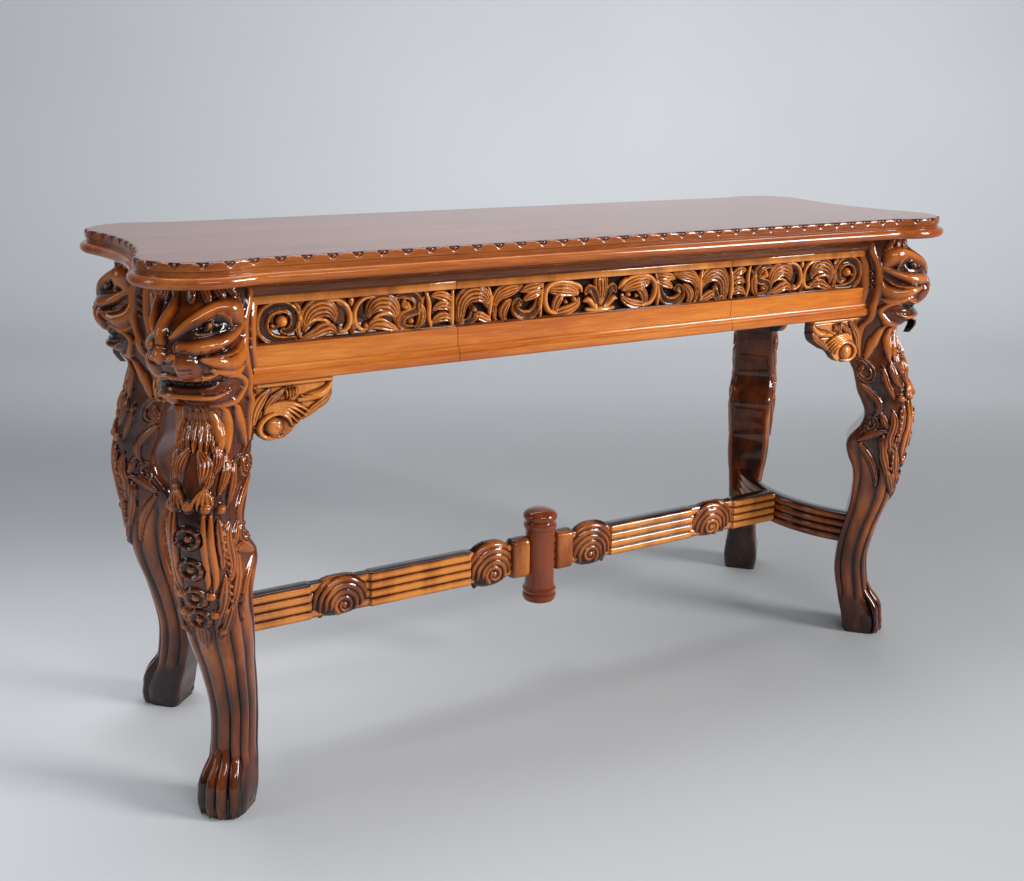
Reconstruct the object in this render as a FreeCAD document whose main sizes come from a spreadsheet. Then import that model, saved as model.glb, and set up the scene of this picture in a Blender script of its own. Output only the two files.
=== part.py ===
"""Pier table: four carved lion legs, a pierced frieze with one drawer, and an H-shaped stretcher.

X runs along the length, Y towards the back and Z up, in millimetres. The origin is on the floor under
the middle of the top. Every piece of wood is a node of its own, and the drawer slides towards -Y.
"""
import FreeCAD, Part
import math
import os
import re

import Sketcher

SIZES = {
    # Where the feet stand, and how tall the legs are under the top.
    "leg_x": 630.0,
    "leg_y": 181.0,
    "leg_height": 766.5,
    "shin_height": 343.0,
    # The top: a board with a sloped lip, on an edge band whose outer edges are chamfered.
    "board_thick": 18.0,
    "band_thick": 15.5,
    "band_stand": 9.0,
    "band_chamfer": 4.6,
    "band_inset": 30.0,
    "lip_slope": 9.0,
    "lip_drop": 12.0,
    "ear_inset": 13.0,
    "ear_radius": 79.0,
    "side_cove_radius": 111.0,
    "end_cove_radius": 511.0,
    "top_half_depth": 231.0,
    # The frieze: its outer face stands back from the centres of the legs.
    "face_inset": 3.0,
    "frieze_height": 117.0,
    "cove_height": 24.0,
    "cove_stand": 26.0,
    "cove_fillet": 4.0,
    "cove_flat": 3.0,
    "cove_radius": 27.6,
    "rail_depth": 20.0,
    "rail_height": 50.5,
    "fret_thick": 14.0,
    "fret_border": 11.7,
    "band_proud": 2.5,
    "mould_proud": 9.5,
    "mould_height": 23.4,
    "bead_height": 7.0,
    "mould_round": 4.0,
    "mould_back": 3.0,
    "quirk": 1.0,
    "bead_round": 4.2,
    "top_rail_depth": 40.0,
    # The pierced scrolls: one pair of mirrored scrolls for each pitch.
    "scroll_pitch": 96.0,
    # The legs: the post behind the head, the toes, the face, and the raised carving at the knee.
    "post_half": 54.0,
    "post_back": 88.0,
    "post_front": 10.0,
    "toe_groove": 7.0,
    "toe_pitch": 16.0,
    "toe_height": 36.0,
    "nose_half": 13.0,
    "nose_height": 20.0,
    "nose_stand": 5.0,
    "mouth_drop": 134.0,
    "mouth_gap": 7.0,
    "mouth_half": 30.0,
    "mouth_depth": 22.0,
    "beard_radius": 11.0,
    "beard_length": 24.0,
    "flower_half": 14.0,
    "flower_stand": 5.0,
    "leaf_stand": 5.0,
    "leaf_back": 14.0,
    # The brackets under the frieze.
    "neck_half": 44.0,
    "bracket_span": 121.0,
    "end_bracket_span": 78.0,
    "bracket_drop": 84.0,
    "bracket_thick": 24.0,
    # The drawer and what carries it.
    "drawer_half": 252.0,
    "drawer_gap": 1.0,
    "drawer_depth": 270.0,
    "drawer_side_height": 74.0,
    "drawer_side_thick": 11.0,
    "drawer_side_gap": 0.5,
    "drawer_floor_thick": 6.0,
    "drawer_floor_rise": 2.0,
    "drawer_back_thick": 11.0,
    "inner_front_thick": 12.0,
    "drawer_foot": 8.0,
    "partition_thick": 18.0,
    "runner_width": 26.0,
    "runner_height": 22.0,
    "slide_gap": 0.4,
    "stop_size": 14.0,
    # The stretchers.
    "stretcher_low": 182.0,
    "stretcher_height": 60.0,
    "stretcher_thick": 34.0,
    "end_stretcher_thick": 30.0,
    "end_stretcher_drop": 5.0,
    "end_stretcher_height": 58.0,
    "bow_inset": 79.0,
    "end_stretcher_radius": 262.0,
    "stretcher_tenon": 20.0,
    "swell_far": 5.0,
    "swell_near": 14.0,
    "far_leaf_in": 336.0,
    "far_leaf_out": 432.0,
    "near_leaf_in": 62.0,
    "near_leaf_out": 150.0,
    "leaf_gap": 4.0,
    "shoulder_flare": 8.0,
    "shoulder_dip": 5.0,
    "shoulder_radius": 60.0,
    "shoulder_bury": 6.0,
    "drum_radius": 31.0,
    "drum_low": 123.0,
    "drum_height": 174.0,
    "cap_height": 36.0,
    "foot_bead_height": 27.0,
    "drum_bead": 4.0,
    # The braces across the corners behind the posts.
    "brace_thick": 20.0,
    "brace_height": 34.0,
    "brace_rise": 8.0,
}

# Sections of a leg in its diagonal plane: rise above the floor under a knee at shin_height, or drop below
# the top of the leg, then the reach of the back and of the front from the middle of the foot, and half the width.
LEG_SECTIONS = [
    ("sole", "rise", 0.0, 32.0, 38.0, 33.0),
    ("toes", "rise", 28.0, 38.0, 41.0, 36.0),
    ("instep", "rise", 58.0, 45.0, 26.0, 35.0),
    ("ankle", "rise", 90.0, 53.0, 8.0, 31.0),
    ("shin", "rise", 160.0, 60.0, 1.0, 32.0),
    ("calf", "rise", 235.0, 47.0, 15.0, 38.0),
    ("high_calf", "rise", 290.0, 42.0, 35.0, 44.0),
    ("under_knee", "drop", 423.5, 45.0, 42.0, 42.0),
    ("hock", "drop", 387.5, 60.0, 50.0, 43.0),
    ("knee", "drop", 350.0, 43.0, 53.0, 42.0),
    ("thigh", "drop", 320.0, 34.0, 52.0, 41.0),
    ("breast", "drop", 270.0, 54.0, 41.0, 41.0),
    ("chest", "drop", 229.5, 69.0, 32.0, 44.0),
    ("throat", "drop", 170.0, 82.0, 7.0, 44.0),
    ("chin", "drop", 160.0, 84.0, 30.0, 44.0),
    ("jaw", "drop", 141.0, 86.0, 42.0, 44.0),
    ("lips", "drop", 124.0, 66.0, 44.0, 48.0),
    ("muzzle", "drop", 92.5, 66.0, 57.0, 52.0),
    ("brow", "drop", 50.0, 66.0, 54.0, 53.0),
    ("crown", "drop", 0.0, 66.0, 4.0, 46.0),
]

CORNERS = {
    "front_left": (-1, -1),
    "front_right": (1, -1),
    "rear_left": (-1, 1),
    "rear_right": (1, 1),
}
SIDES = {"left": -1, "right": 1}

vector = FreeCAD.Vector
doc = FreeCAD.newDocument("PierTable")
nodes = []


def fill_sheet():
    """Put every driving size in the sheet, under its own name."""
    table = doc.addObject("Spreadsheet::Sheet", "Sizes")
    for name, way, level, back, front, half in LEG_SECTIONS:
        SIZES.update({f"{name}_{way}": level, f"{name}_back": back, f"{name}_front": front,
                      f"{name}_half": half})
    for row, (name, size) in enumerate(SIZES.items(), start=1):
        table.set(f"A{row}", name)
        table.set(f"B{row}", str(size))
        table.setAlias(f"B{row}", name)
    doc.recompute()
    return table


def bind(text):
    """Turn the plain names of sizes in an expression into references to the sheet."""
    return re.sub(r"[a-z][a-z_]*", lambda word: "Sizes." + word[0] if word[0] in SIZES else word[0],
                  str(text))


def value(text):
    """The number that an expression on the sizes gives."""
    return float(sheet.evalExpression(bind(text).replace("Sizes.", "")))


def bound(item, **properties):
    """Bind properties of an object to expressions on the sizes; two underscores stand for a dot."""
    for name, text in properties.items():
        item.setExpression(name.replace("__", "."), bind(text))
    return item


def body(name):
    """A PartDesign body."""
    return doc.addObject("PartDesign::Body", name)


def sketch(owner, plane, name, offset="0"):
    """A sketch on one of the body's own origin planes, moved along the plane's normal."""
    face = next(item for item in owner.Origin.OriginFeatures if item.Role == plane)
    item = owner.newObject("Sketcher::SketchObject", name)
    item.AttachmentSupport = [(face, "")]
    item.MapMode = "FlatFace"
    return bound(item, AttachmentOffset__Base__z=offset)


def loop(item, corners):
    """Draw a closed outline.

    Each corner is (x, y) or (x, y, radius): with a radius, an arc leads to the next corner, turning
    left where the radius is positive and right where it is negative. Arcs are drawn anticlockwise.
    """
    places = [vector(value(corner[0]), value(corner[1]), 0) for corner in corners]
    edges = []
    for index, corner in enumerate(corners):
        start, end = places[index], places[(index + 1) % len(corners)]
        if len(corner) == 2:
            edges.append((item.addGeometry(Part.LineSegment(start, end)), 1, 2))
            continue
        radius = value(corner[2])
        chord = end - start
        left = vector(-chord.y, chord.x, 0).normalize() * math.copysign(1.0, radius)
        depth = abs(radius) - math.sqrt(radius ** 2 - chord.Length ** 2 / 4)
        middle = (start + end) * 0.5 - left * depth
        if radius > 0:
            edges.append((item.addGeometry(Part.Arc(start, middle, end)), 1, 2))
        else:
            edges.append((item.addGeometry(Part.Arc(end, middle, start)), 2, 1))
    for index, corner in enumerate(corners):
        edge, first, last = edges[index]
        following, following_first, _ = edges[(index + 1) % len(corners)]
        item.addConstraint(Sketcher.Constraint("Coincident", edge, last, following, following_first))
        for kind, text, size in (("DistanceX", corner[0], places[index].x),
                                 ("DistanceY", corner[1], places[index].y)):
            number = item.addConstraint(Sketcher.Constraint(kind, -1, 1, edge, first, size))
            item.setExpression(f"Constraints[{number}]", bind(text))
        if len(corner) == 3:
            sign = 1 if first == 1 else -1
            number = item.addConstraint(Sketcher.Constraint("Radius", edge, abs(value(corner[2]))))
            item.setExpression(f"Constraints[{number}]", f"{sign} * ({bind(corner[2])})")
    return item


def pad(owner, profile, length, both_ways=False):
    """Pad a sketch along its normal, or half each way."""
    item = owner.newObject("PartDesign::Pad", "Pad")
    item.Profile = profile
    item.Midplane = both_ways
    return bound(item, Length=length)


def pocket(owner, profile, name="Pocket"):
    """Cut a sketch through the whole body, both ways."""
    item = owner.newObject("PartDesign::Pocket", name)
    item.Profile = profile
    item.Type = "ThroughAll"
    item.Midplane = True
    return item


def block(name, place, size):
    """A Part box from its low corner and its three sizes, each an expression."""
    item = doc.addObject("Part::Box", name)
    return bound(item, Length=size[0], Width=size[1], Height=size[2], Placement__Base__x=place[0],
                 Placement__Base__y=place[1], Placement__Base__z=place[2])


def fuse(name, shapes):
    """Fuse several objects into one."""
    item = doc.addObject("Part::MultiFuse", name)
    item.Shapes = shapes
    return item


def cut(name, base, tool):
    """Cut one object with another."""
    item = doc.addObject("Part::Cut", name)
    item.Base = base
    item.Tool = tool
    return item


def mirrored(name, source, normal):
    """The mirror image of an object in a plane through the origin."""
    item = doc.addObject("Part::Mirroring", name)
    item.Source = source
    item.Normal = normal
    return item


def node(item, name):
    """Name an object as a finished piece that is written to its own file."""
    item.Label = name
    nodes.append((name, item))
    return item


def turn_to_corner(item, signs):
    """Stand an object that is drawn along +X at a corner, facing outwards on the diagonal."""
    angle = math.degrees(math.atan2(signs[1], signs[0]))
    item.Placement = FreeCAD.Placement(vector(0, 0, 0), FreeCAD.Rotation(vector(0, 0, 1), angle))
    return bound(item, Placement__Base__x=f"{signs[0]} * leg_x", Placement__Base__y=f"{signs[1]} * leg_y")


# ---------------------------------------------------------------- levels

FRIEZE_TOP = "(leg_height - cove_height)"
FRIEZE_LOW = "(leg_height - cove_height - frieze_height)"
FACE_Y = "(leg_y - face_inset)"
FACE_X = "(leg_x - face_inset)"
EAR_X = "(leg_x - ear_inset)"
EAR_Y = "(leg_y - ear_inset)"


# ---------------------------------------------------------------- the top

def top_outline(item, grow):
    """The outline of the top: straight long sides, round ears over the legs, hollow ends.

    grow moves the whole outline outwards. The arcs are tangent: an ear touches the hollow beside it on
    the line between their centres.
    """
    ear = f"(ear_radius + {grow})"
    side = f"(side_cove_radius - {grow})"
    end = f"(end_cove_radius - {grow})"
    half = f"(top_half_depth + {grow})"
    side_x = f"({EAR_X} - sqrt(({ear} + {side})^2 - ({half} + {side} - {EAR_Y})^2))"
    end_x = f"({EAR_X} + sqrt(({ear} + {end})^2 - {EAR_Y}^2))"
    side_touch = (f"({EAR_X} + ({side_x} - {EAR_X}) * {ear} / ({ear} + {side}))",
                  f"({EAR_Y} + ({half} + {side} - {EAR_Y}) * {ear} / ({ear} + {side}))")
    end_touch = (f"({EAR_X} + ({end_x} - {EAR_X}) * {ear} / ({ear} + {end}))",
                 f"({EAR_Y} - {EAR_Y} * {ear} / ({ear} + {end}))")
    return loop(item, [
        (f"-1 * {side_x}", f"-1 * {half}"),
        (side_x, f"-1 * {half}", f"-1 * {side}"),
        (side_touch[0], f"-1 * {side_touch[1]}", ear),
        (end_touch[0], f"-1 * {end_touch[1]}", f"-1 * {end}"),
        (*end_touch, ear),
        (*side_touch, f"-1 * {side}"),
        (side_x, half),
        (f"-1 * {side_x}", half, f"-1 * {side}"),
        (f"-1 * {side_touch[0]}", side_touch[1], ear),
        (f"-1 * {end_touch[0]}", end_touch[1], f"-1 * {end}"),
        (f"-1 * {end_touch[0]}", f"-1 * {end_touch[1]}", ear),
        (f"-1 * {side_touch[0]}", f"-1 * {side_touch[1]}", f"-1 * {side}"),
    ])


def rim_edges(shape, level):
    """The names of a solid's edges that lie flat at one level."""
    return [f"Edge{number}" for number, edge in enumerate(shape.Edges, start=1)
            if abs(edge.BoundBox.ZMin - level) < 1e-4 and abs(edge.BoundBox.ZMax - level) < 1e-4]


def build_top():
    """The top board, with its sloped lip, and the chamfered edge band in four mitred lengths."""
    board = body("TopBoard")
    outline = top_outline(sketch(board, "XY_Plane", "BoardOutline", "leg_height + band_thick"), "0")
    pad(board, outline, "board_thick - lip_drop")
    lip_low = "leg_height + band_thick + board_thick - lip_drop"
    lip = pad(board, top_outline(sketch(board, "XY_Plane", "LipOutline", lip_low), "0"), "lip_drop")
    bound(lip, TaperAngle="-1 * atan(lip_slope / lip_drop)")
    node(board, "top_board")

    ring = body("EdgeBand")
    slab = pad(ring, top_outline(sketch(ring, "XY_Plane", "BandOutline", "leg_height"), "band_stand"),
               "band_thick")
    doc.recompute()
    edge = ring.newObject("PartDesign::Chamfer", "EdgeChamfer")
    edge.Base = (slab, rim_edges(ring.Shape, value("leg_height"))
                 + rim_edges(ring.Shape, value("leg_height + band_thick")))
    bound(edge, Size="band_chamfer")
    inner_x, inner_y = f"({EAR_X} - band_inset)", f"({EAR_Y} - band_inset)"
    hollow = loop(sketch(ring, "XY_Plane", "BandHollow"),
                  [(f"-{inner_x}", f"-{inner_y}"), (inner_x, f"-{inner_y}"), (inner_x, inner_y),
                   (f"-{inner_x}", inner_y)])
    pocket(ring, hollow)
    reach = "(2 * ear_radius)"
    wedges = {
        "front": [(f"-{inner_x}", f"-{inner_y}"), (f"-{inner_x} - {reach}", f"-{inner_y} - {reach}"),
                  (f"{inner_x} + {reach}", f"-{inner_y} - {reach}"), (inner_x, f"-{inner_y}")],
        "left": [(f"-{inner_x}", f"-{inner_y}"), (f"-{inner_x}", inner_y),
                 (f"-{inner_x} - {reach}", f"{inner_y} + {reach}"),
                 (f"-{inner_x} - {reach}", f"-{inner_y} - {reach}")],
    }
    for name, corners in wedges.items():
        wedge = body("Mitre_" + name)
        pad(wedge, loop(sketch(wedge, "XY_Plane", "MitreOutline", "leg_height - band_thick"), corners),
            "3 * band_thick")
        length = doc.addObject("Part::Common", "Band_" + name)
        length.Base = ring
        length.Tool = wedge
        node(length, "edge_band_" + name)
    node(mirrored("Band_rear", doc.getObject("Band_front"), vector(0, 1, 0)), "edge_band_rear")
    node(mirrored("Band_right", doc.getObject("Band_left"), vector(1, 0, 0)), "edge_band_right")


# ---------------------------------------------------------------- the legs

def leg_level(name, way):
    """The height of a section; the ones that rise from the floor keep their shares of the shin."""
    if way == "rise":
        return f"{name}_rise * (leg_height - under_knee_drop) / shin_height"
    return f"leg_height - {name}_drop"


def leg_section(owner, name, way):
    """One section of a leg: a flat back with bevelled corners, flat sides and a rounded front.

    Matching edges of two sections are parallel, so every face between them is flat.
    """
    back, front, half = f"-1 * {name}_back", f"{name}_front", f"{name}_half"
    item = sketch(owner, "XY_Plane", name.title().replace("_", "") + "Section", leg_level(name, way))
    near = [(back, f"0.72 * {half}"), (f"{back} + 0.28 * {half}", half), (f"{front} - 0.62 * {half}", half),
            (front, f"0.38 * {half}")]
    far = [(along, f"-1 * {across}") for along, across in near]
    return loop(item, far + near[::-1])


def relief_section(owner, name, way, part):
    """One section of a leg's raised carving: the string of flowers in front, or the leaves at its sides."""
    front, half = f"{name}_front", f"{name}_half"
    item = sketch(owner, "XY_Plane", name.title().replace("_", "") + part, leg_level(name, way))
    if part == "Flowers":
        near, far, across = "0", f"{front} + flower_stand", "flower_half"
    else:
        near, far, across = "-leaf_back", f"{front} - 0.55 * {half}", f"({half} + leaf_stand)"
    return loop(item, [(near, f"-1 * {across}"), (far, f"-1 * {across}"), (far, across), (near, across)])


def loft(owner, sections, name):
    """Join sections with straight-lined faces."""
    item = owner.newObject("PartDesign::AdditiveLoft", name)
    item.Profile = sections[0]
    item.Sections = sections[1:]
    item.Ruled = True
    return item


def build_leg(name, signs):
    """One leg, carved from one piece: paw, cabriole plank, lion's head and the post behind the head.

    It is drawn along +X and turned to its corner. What comes back is the standing plank alone, for
    cutting what butts against it.
    """
    plank = body("Plank_" + name)
    loft(plank, [leg_section(plank, part, way) for part, way, *_ in LEG_SECTIONS], "Carving")
    levels = [part for part, *_ in LEG_SECTIONS]
    for part, low, high in (("Flowers", "high_calf", "chest"), ("Leaves", "under_knee", "breast")):
        rows = LEG_SECTIONS[levels.index(low):levels.index(high) + 1]
        loft(plank, [relief_section(plank, row, way, part) for row, way, *_ in rows], part)
    post = block("Post_" + name, ("-post_back", "-post_half", FRIEZE_LOW),
                 ("post_back - post_front", "2 * post_half", "cove_height + frieze_height"))
    nose = block("Nose_" + name, ("muzzle_front - nose_height", "-nose_half",
                                  "leg_height - muzzle_drop - nose_height / 2"),
                 ("nose_height + nose_stand", "2 * nose_half", "nose_height"))
    beard = doc.addObject("Part::Wedge", "Beard_" + name)
    bound(beard, Xmin="0.6 * beard_radius", Xmax="1.4 * beard_radius", Zmin="0.6 * beard_radius",
          Zmax="1.4 * beard_radius", Ymax="beard_length", X2max="2 * beard_radius",
          Z2max="2 * beard_radius", Placement__Base__x="chin_front - 2 * beard_radius",
          Placement__Base__y="beard_radius", Placement__Base__z="leg_height - chin_drop - beard_length / 2")
    bound(beard, X2min="0", Z2min="0")
    beard.Placement.Rotation = FreeCAD.Rotation(vector(1, 0, 0), 90)
    whole = fuse("LegWhole_" + name, [plank, post, nose, beard])
    mouth = block("Mouth_" + name, ("lips_front - mouth_depth", "-mouth_half", "leg_height - mouth_drop"),
                  ("2 * mouth_depth", "2 * mouth_half", "mouth_gap"))
    grooves = [mouth]
    for place in (-1, 0, 1):
        groove = block("ToeGroove", ("toes_front - toe_groove / sqrt(2)", f"{place} * toe_pitch", "-1"),
                       ("toe_groove", "toe_groove", "toe_height"))
        groove.Placement.Rotation = FreeCAD.Rotation(vector(0, 0, 1), -45)
        grooves.append(groove)
    carved = cut("Leg_" + name, whole, fuse("LegCuts_" + name, grooves))
    node(turn_to_corner(carved, signs), "leg_" + name)
    standing_plank = doc.addObject("Part::Compound", "StandingPlank_" + name)
    standing_plank.Links = [plank]
    return turn_to_corner(standing_plank, signs)


def leg_spaces(name, half, low, height):
    """Blocks on the diagonals, as wide as a part of the legs, to cut what butts against their sides."""
    spaces = []
    for corner, signs in CORNERS.items():
        angle = math.atan2(signs[1], signs[0])
        along = "(1.5 * post_back)"
        space = block(f"{name}_{corner}",
                      (f"{signs[0]} * leg_x - {math.cos(angle)} * {along} + {math.sin(angle)} * {half}",
                       f"{signs[1]} * leg_y - {math.sin(angle)} * {along} - {math.cos(angle)} * {half}", low),
                      ("3 * post_back", f"2 * {half}", height))
        space.Placement.Rotation = FreeCAD.Rotation(vector(0, 0, 1), math.degrees(angle))
        spaces.append(space)
    return fuse(name + "s", spaces)


# ---------------------------------------------------------------- the frieze

def rail_profile(item, face, facing):
    """The section of a lower rail: a flat band over a bead, a quirk and a rounded foot.

    face is the plane of the frieze, and facing is -1 where outwards is the sketch's minus x.
    """
    def out(stand):
        return f"{facing} * ({face} + {stand})"
    band_low = f"{FRIEZE_LOW} + mould_height"
    return loop(item, [
        (out("-rail_depth"), FRIEZE_LOW),
        (out("mould_proud - mould_back"), FRIEZE_LOW, f"{facing} * mould_round"),
        (out("mould_proud"), f"{FRIEZE_LOW} + mould_round"),
        (out("mould_proud"), f"{band_low} - bead_height - mould_round"),
        (out("mould_proud - mould_round"), f"{band_low} - bead_height - quirk"),
        (out("mould_proud - mould_round"), f"{band_low} - bead_height", f"{facing} * bead_round"),
        (out("band_proud"), band_low),
        (out("band_proud"), f"{FRIEZE_LOW} + rail_height"),
        (out("-rail_depth"), f"{FRIEZE_LOW} + rail_height"),
    ])


def cove_profile(item, face, facing):
    """The section of the cove under the top: a fillet, then a hollow out to the edge band."""
    def out(stand):
        return f"{facing} * ({face} + {stand})"
    return loop(item, [
        (out("0"), FRIEZE_TOP),
        (out("cove_fillet"), FRIEZE_TOP),
        (out("cove_fillet"), f"{FRIEZE_TOP} + cove_flat", f"-{facing} * cove_radius"),
        (out("cove_stand"), "leg_height - cove_flat"),
        (out("cove_stand"), "leg_height"),
        (out("0"), "leg_height"),
    ])


def scroll_holes(item, middle, level):
    """The openings of one scroll and of its mirror image: a crescent over the leaf and a horn under it."""
    crescent = [(-17, 4), (-6, 9), (5, 11), (16, 8), (12, 14), (2, 17), (-10, 14)]
    horn = [(-17, -11), (-10, -22), (14, -17), (3, -10)]
    for side in (-1, 1):
        for hole in (crescent, horn):
            loop(item, [(f"{middle} + {side} * ({along} + scroll_pitch / 4)", f"{level} + {up}")
                        for along, up in hole])


def pierced(owner, plane, middle, level, count):
    """Pierce a panel with a row of scroll pairs, as one pocket and its pattern."""
    first = f"{middle} - {(count - 1) / 2} * scroll_pitch"
    holes = sketch(owner, plane, "Scrolls")
    scroll_holes(holes, first, level)
    opening = pocket(owner, holes, "Piercing")
    row = owner.newObject("PartDesign::LinearPattern", "ScrollRow")
    row.Originals = [opening]
    row.Direction = (holes, ["H_Axis"])
    row.Occurrences = count
    bound(row, Length=f"{count - 1} * scroll_pitch")
    owner.Tip = row


def build_frieze(posts):
    """The moulded rails, the pierced panels above them, the cove and the plain back apron."""
    fret_low = f"{FRIEZE_LOW} + rail_height"
    fret_high = f"{FRIEZE_TOP} - fret_border"
    level = f"(({fret_low}) + ({fret_high})) / 2"
    for name, side in SIDES.items():
        inner = f"{side} * (drawer_half + drawer_gap / 2)"
        outer = f"{side} * (leg_x - ear_inset)"
        rail = body("FriezeRail_" + name)
        pad(rail, rail_profile(sketch(rail, "YZ_Plane", "RailSection", inner), FACE_Y, -1),
            f"{side} * (({outer}) - ({inner}))").Reversed = side < 0
        node(cut("FriezeRailCut_" + name, rail, posts), "frieze_rail_" + name)

        fret = body("Fret_" + name)
        board = sketch(fret, "XZ_Plane", "PanelOutline", f"{FACE_Y} - fret_thick")
        pad(fret, loop(board, [(inner, fret_low), (outer, fret_low), (outer, FRIEZE_TOP),
                               (inner, FRIEZE_TOP)]), "fret_thick")
        visible = "leg_x - post_half * sqrt(2) - face_inset"
        pierced(fret, "XZ_Plane", f"{side} * (drawer_half + {visible}) / 2", level, 3)
        node(cut("FretCut_" + name, fret, posts), "fret_panel_" + name)

        end_rail = body("EndRail_" + name)
        pad(end_rail, rail_profile(sketch(end_rail, "XZ_Plane", "RailSection"), FACE_X, side),
            f"2 * {FACE_Y}", both_ways=True)
        node(cut("EndRailCut_" + name, end_rail, posts), "end_rail_" + name)

        end_fret = body("EndFret_" + name)
        away = f"{FACE_X} - fret_thick" if side > 0 else f"-1 * {FACE_X}"
        board = sketch(end_fret, "YZ_Plane", "PanelOutline", away)
        pad(end_fret, loop(board, [(f"-1 * {FACE_Y}", fret_low), (FACE_Y, fret_low),
                                   (FACE_Y, "leg_height"), (f"-1 * {FACE_Y}", "leg_height")]), "fret_thick")
        pierced(end_fret, "YZ_Plane", "0", level, 2)
        node(cut("EndFretCut_" + name, end_fret, posts), "end_fret_" + name)

        end_cove = body("EndCove_" + name)
        pad(end_cove, cove_profile(sketch(end_cove, "XZ_Plane", "CoveSection"), FACE_X, side),
            f"2 * {FACE_Y}", both_ways=True)
        node(cut("EndCoveCut_" + name, end_cove, posts), "cove_" + name)

    for name, side in (("front", -1), ("rear", 1)):
        cove = body("Cove_" + name)
        pad(cove, cove_profile(sketch(cove, "YZ_Plane", "CoveSection"), FACE_Y, side),
            f"2 * {EAR_X}", both_ways=True)
        node(cut("CoveCut_" + name, cove, posts), "cove_" + name)

    top_rail = block("TopRail", (f"-{EAR_X}", f"-1 * {FACE_Y}", FRIEZE_TOP),
                     (f"2 * {EAR_X}", "top_rail_depth", "cove_height"))
    node(cut("TopRailCut", top_rail, posts), "front_top_rail")

    apron = body("RearApron")
    pad(apron, rail_profile(sketch(apron, "YZ_Plane", "RailSection"), FACE_Y, 1), f"2 * {EAR_X}",
        both_ways=True)
    plain = sketch(apron, "YZ_Plane", "ApronSection")
    pad(apron, loop(plain, [(f"{FACE_Y} - rail_depth", fret_low), (FACE_Y, fret_low),
                            (FACE_Y, "leg_height"), (f"{FACE_Y} - rail_depth", "leg_height")]),
        f"2 * {EAR_X}", both_ways=True)
    node(cut("RearApronCut", apron, posts), "rear_apron")


# ---------------------------------------------------------------- the brackets

def bracket_outline(item, sign, root, span):
    """A scrolled bracket: a rounded shoulder, a leaf tip and a volute, along one side of a leg.

    root is the distance of the leg's centre from the middle, and span the visible length.
    """
    start = f"({root} - neck_half * sqrt(2) - face_inset)"

    def spot(share, drop):
        return f"{sign} * ({start} - {span} * {share})", f"{FRIEZE_LOW} - bracket_drop * {drop}"
    return loop(item, [
        (f"{sign} * ({start} + neck_half)", FRIEZE_LOW),
        spot(1, 0),
        spot(0.98, 0.24),
        spot(0.92, 0.47),
        spot(0.82, 0.64),
        spot(0.62, 0.70),
        spot(0.44, 0.84),
        spot(0.30, 0.99),
        spot(0.12, 0.97),
        spot(0.02, 0.80),
        (f"{sign} * ({start} + neck_half)", f"{FRIEZE_LOW} - bracket_drop * 0.7"),
    ])


def build_brackets(necks):
    """Eight brackets: two beside each leg, one under the long rail and one under the end rail."""
    for name, (side, face) in CORNERS.items():
        long_one = body("Bracket_" + name)
        away = f"{FACE_Y} - bracket_thick" if face < 0 else f"-1 * {FACE_Y}"
        pad(long_one, bracket_outline(sketch(long_one, "XZ_Plane", "BracketOutline", away), side, "leg_x",
                                      "bracket_span"), "bracket_thick")
        node(cut("BracketCut_" + name, long_one, necks), "bracket_" + name)
        end_one = body("EndBracket_" + name)
        away = f"{FACE_X} - bracket_thick" if side > 0 else f"-1 * {FACE_X}"
        pad(end_one, bracket_outline(sketch(end_one, "YZ_Plane", "BracketOutline", away), face, "leg_y",
                                     "end_bracket_span"), "bracket_thick")
        node(cut("EndBracketCut_" + name, end_one, necks), "end_bracket_" + name)


# ---------------------------------------------------------------- the drawer

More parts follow.
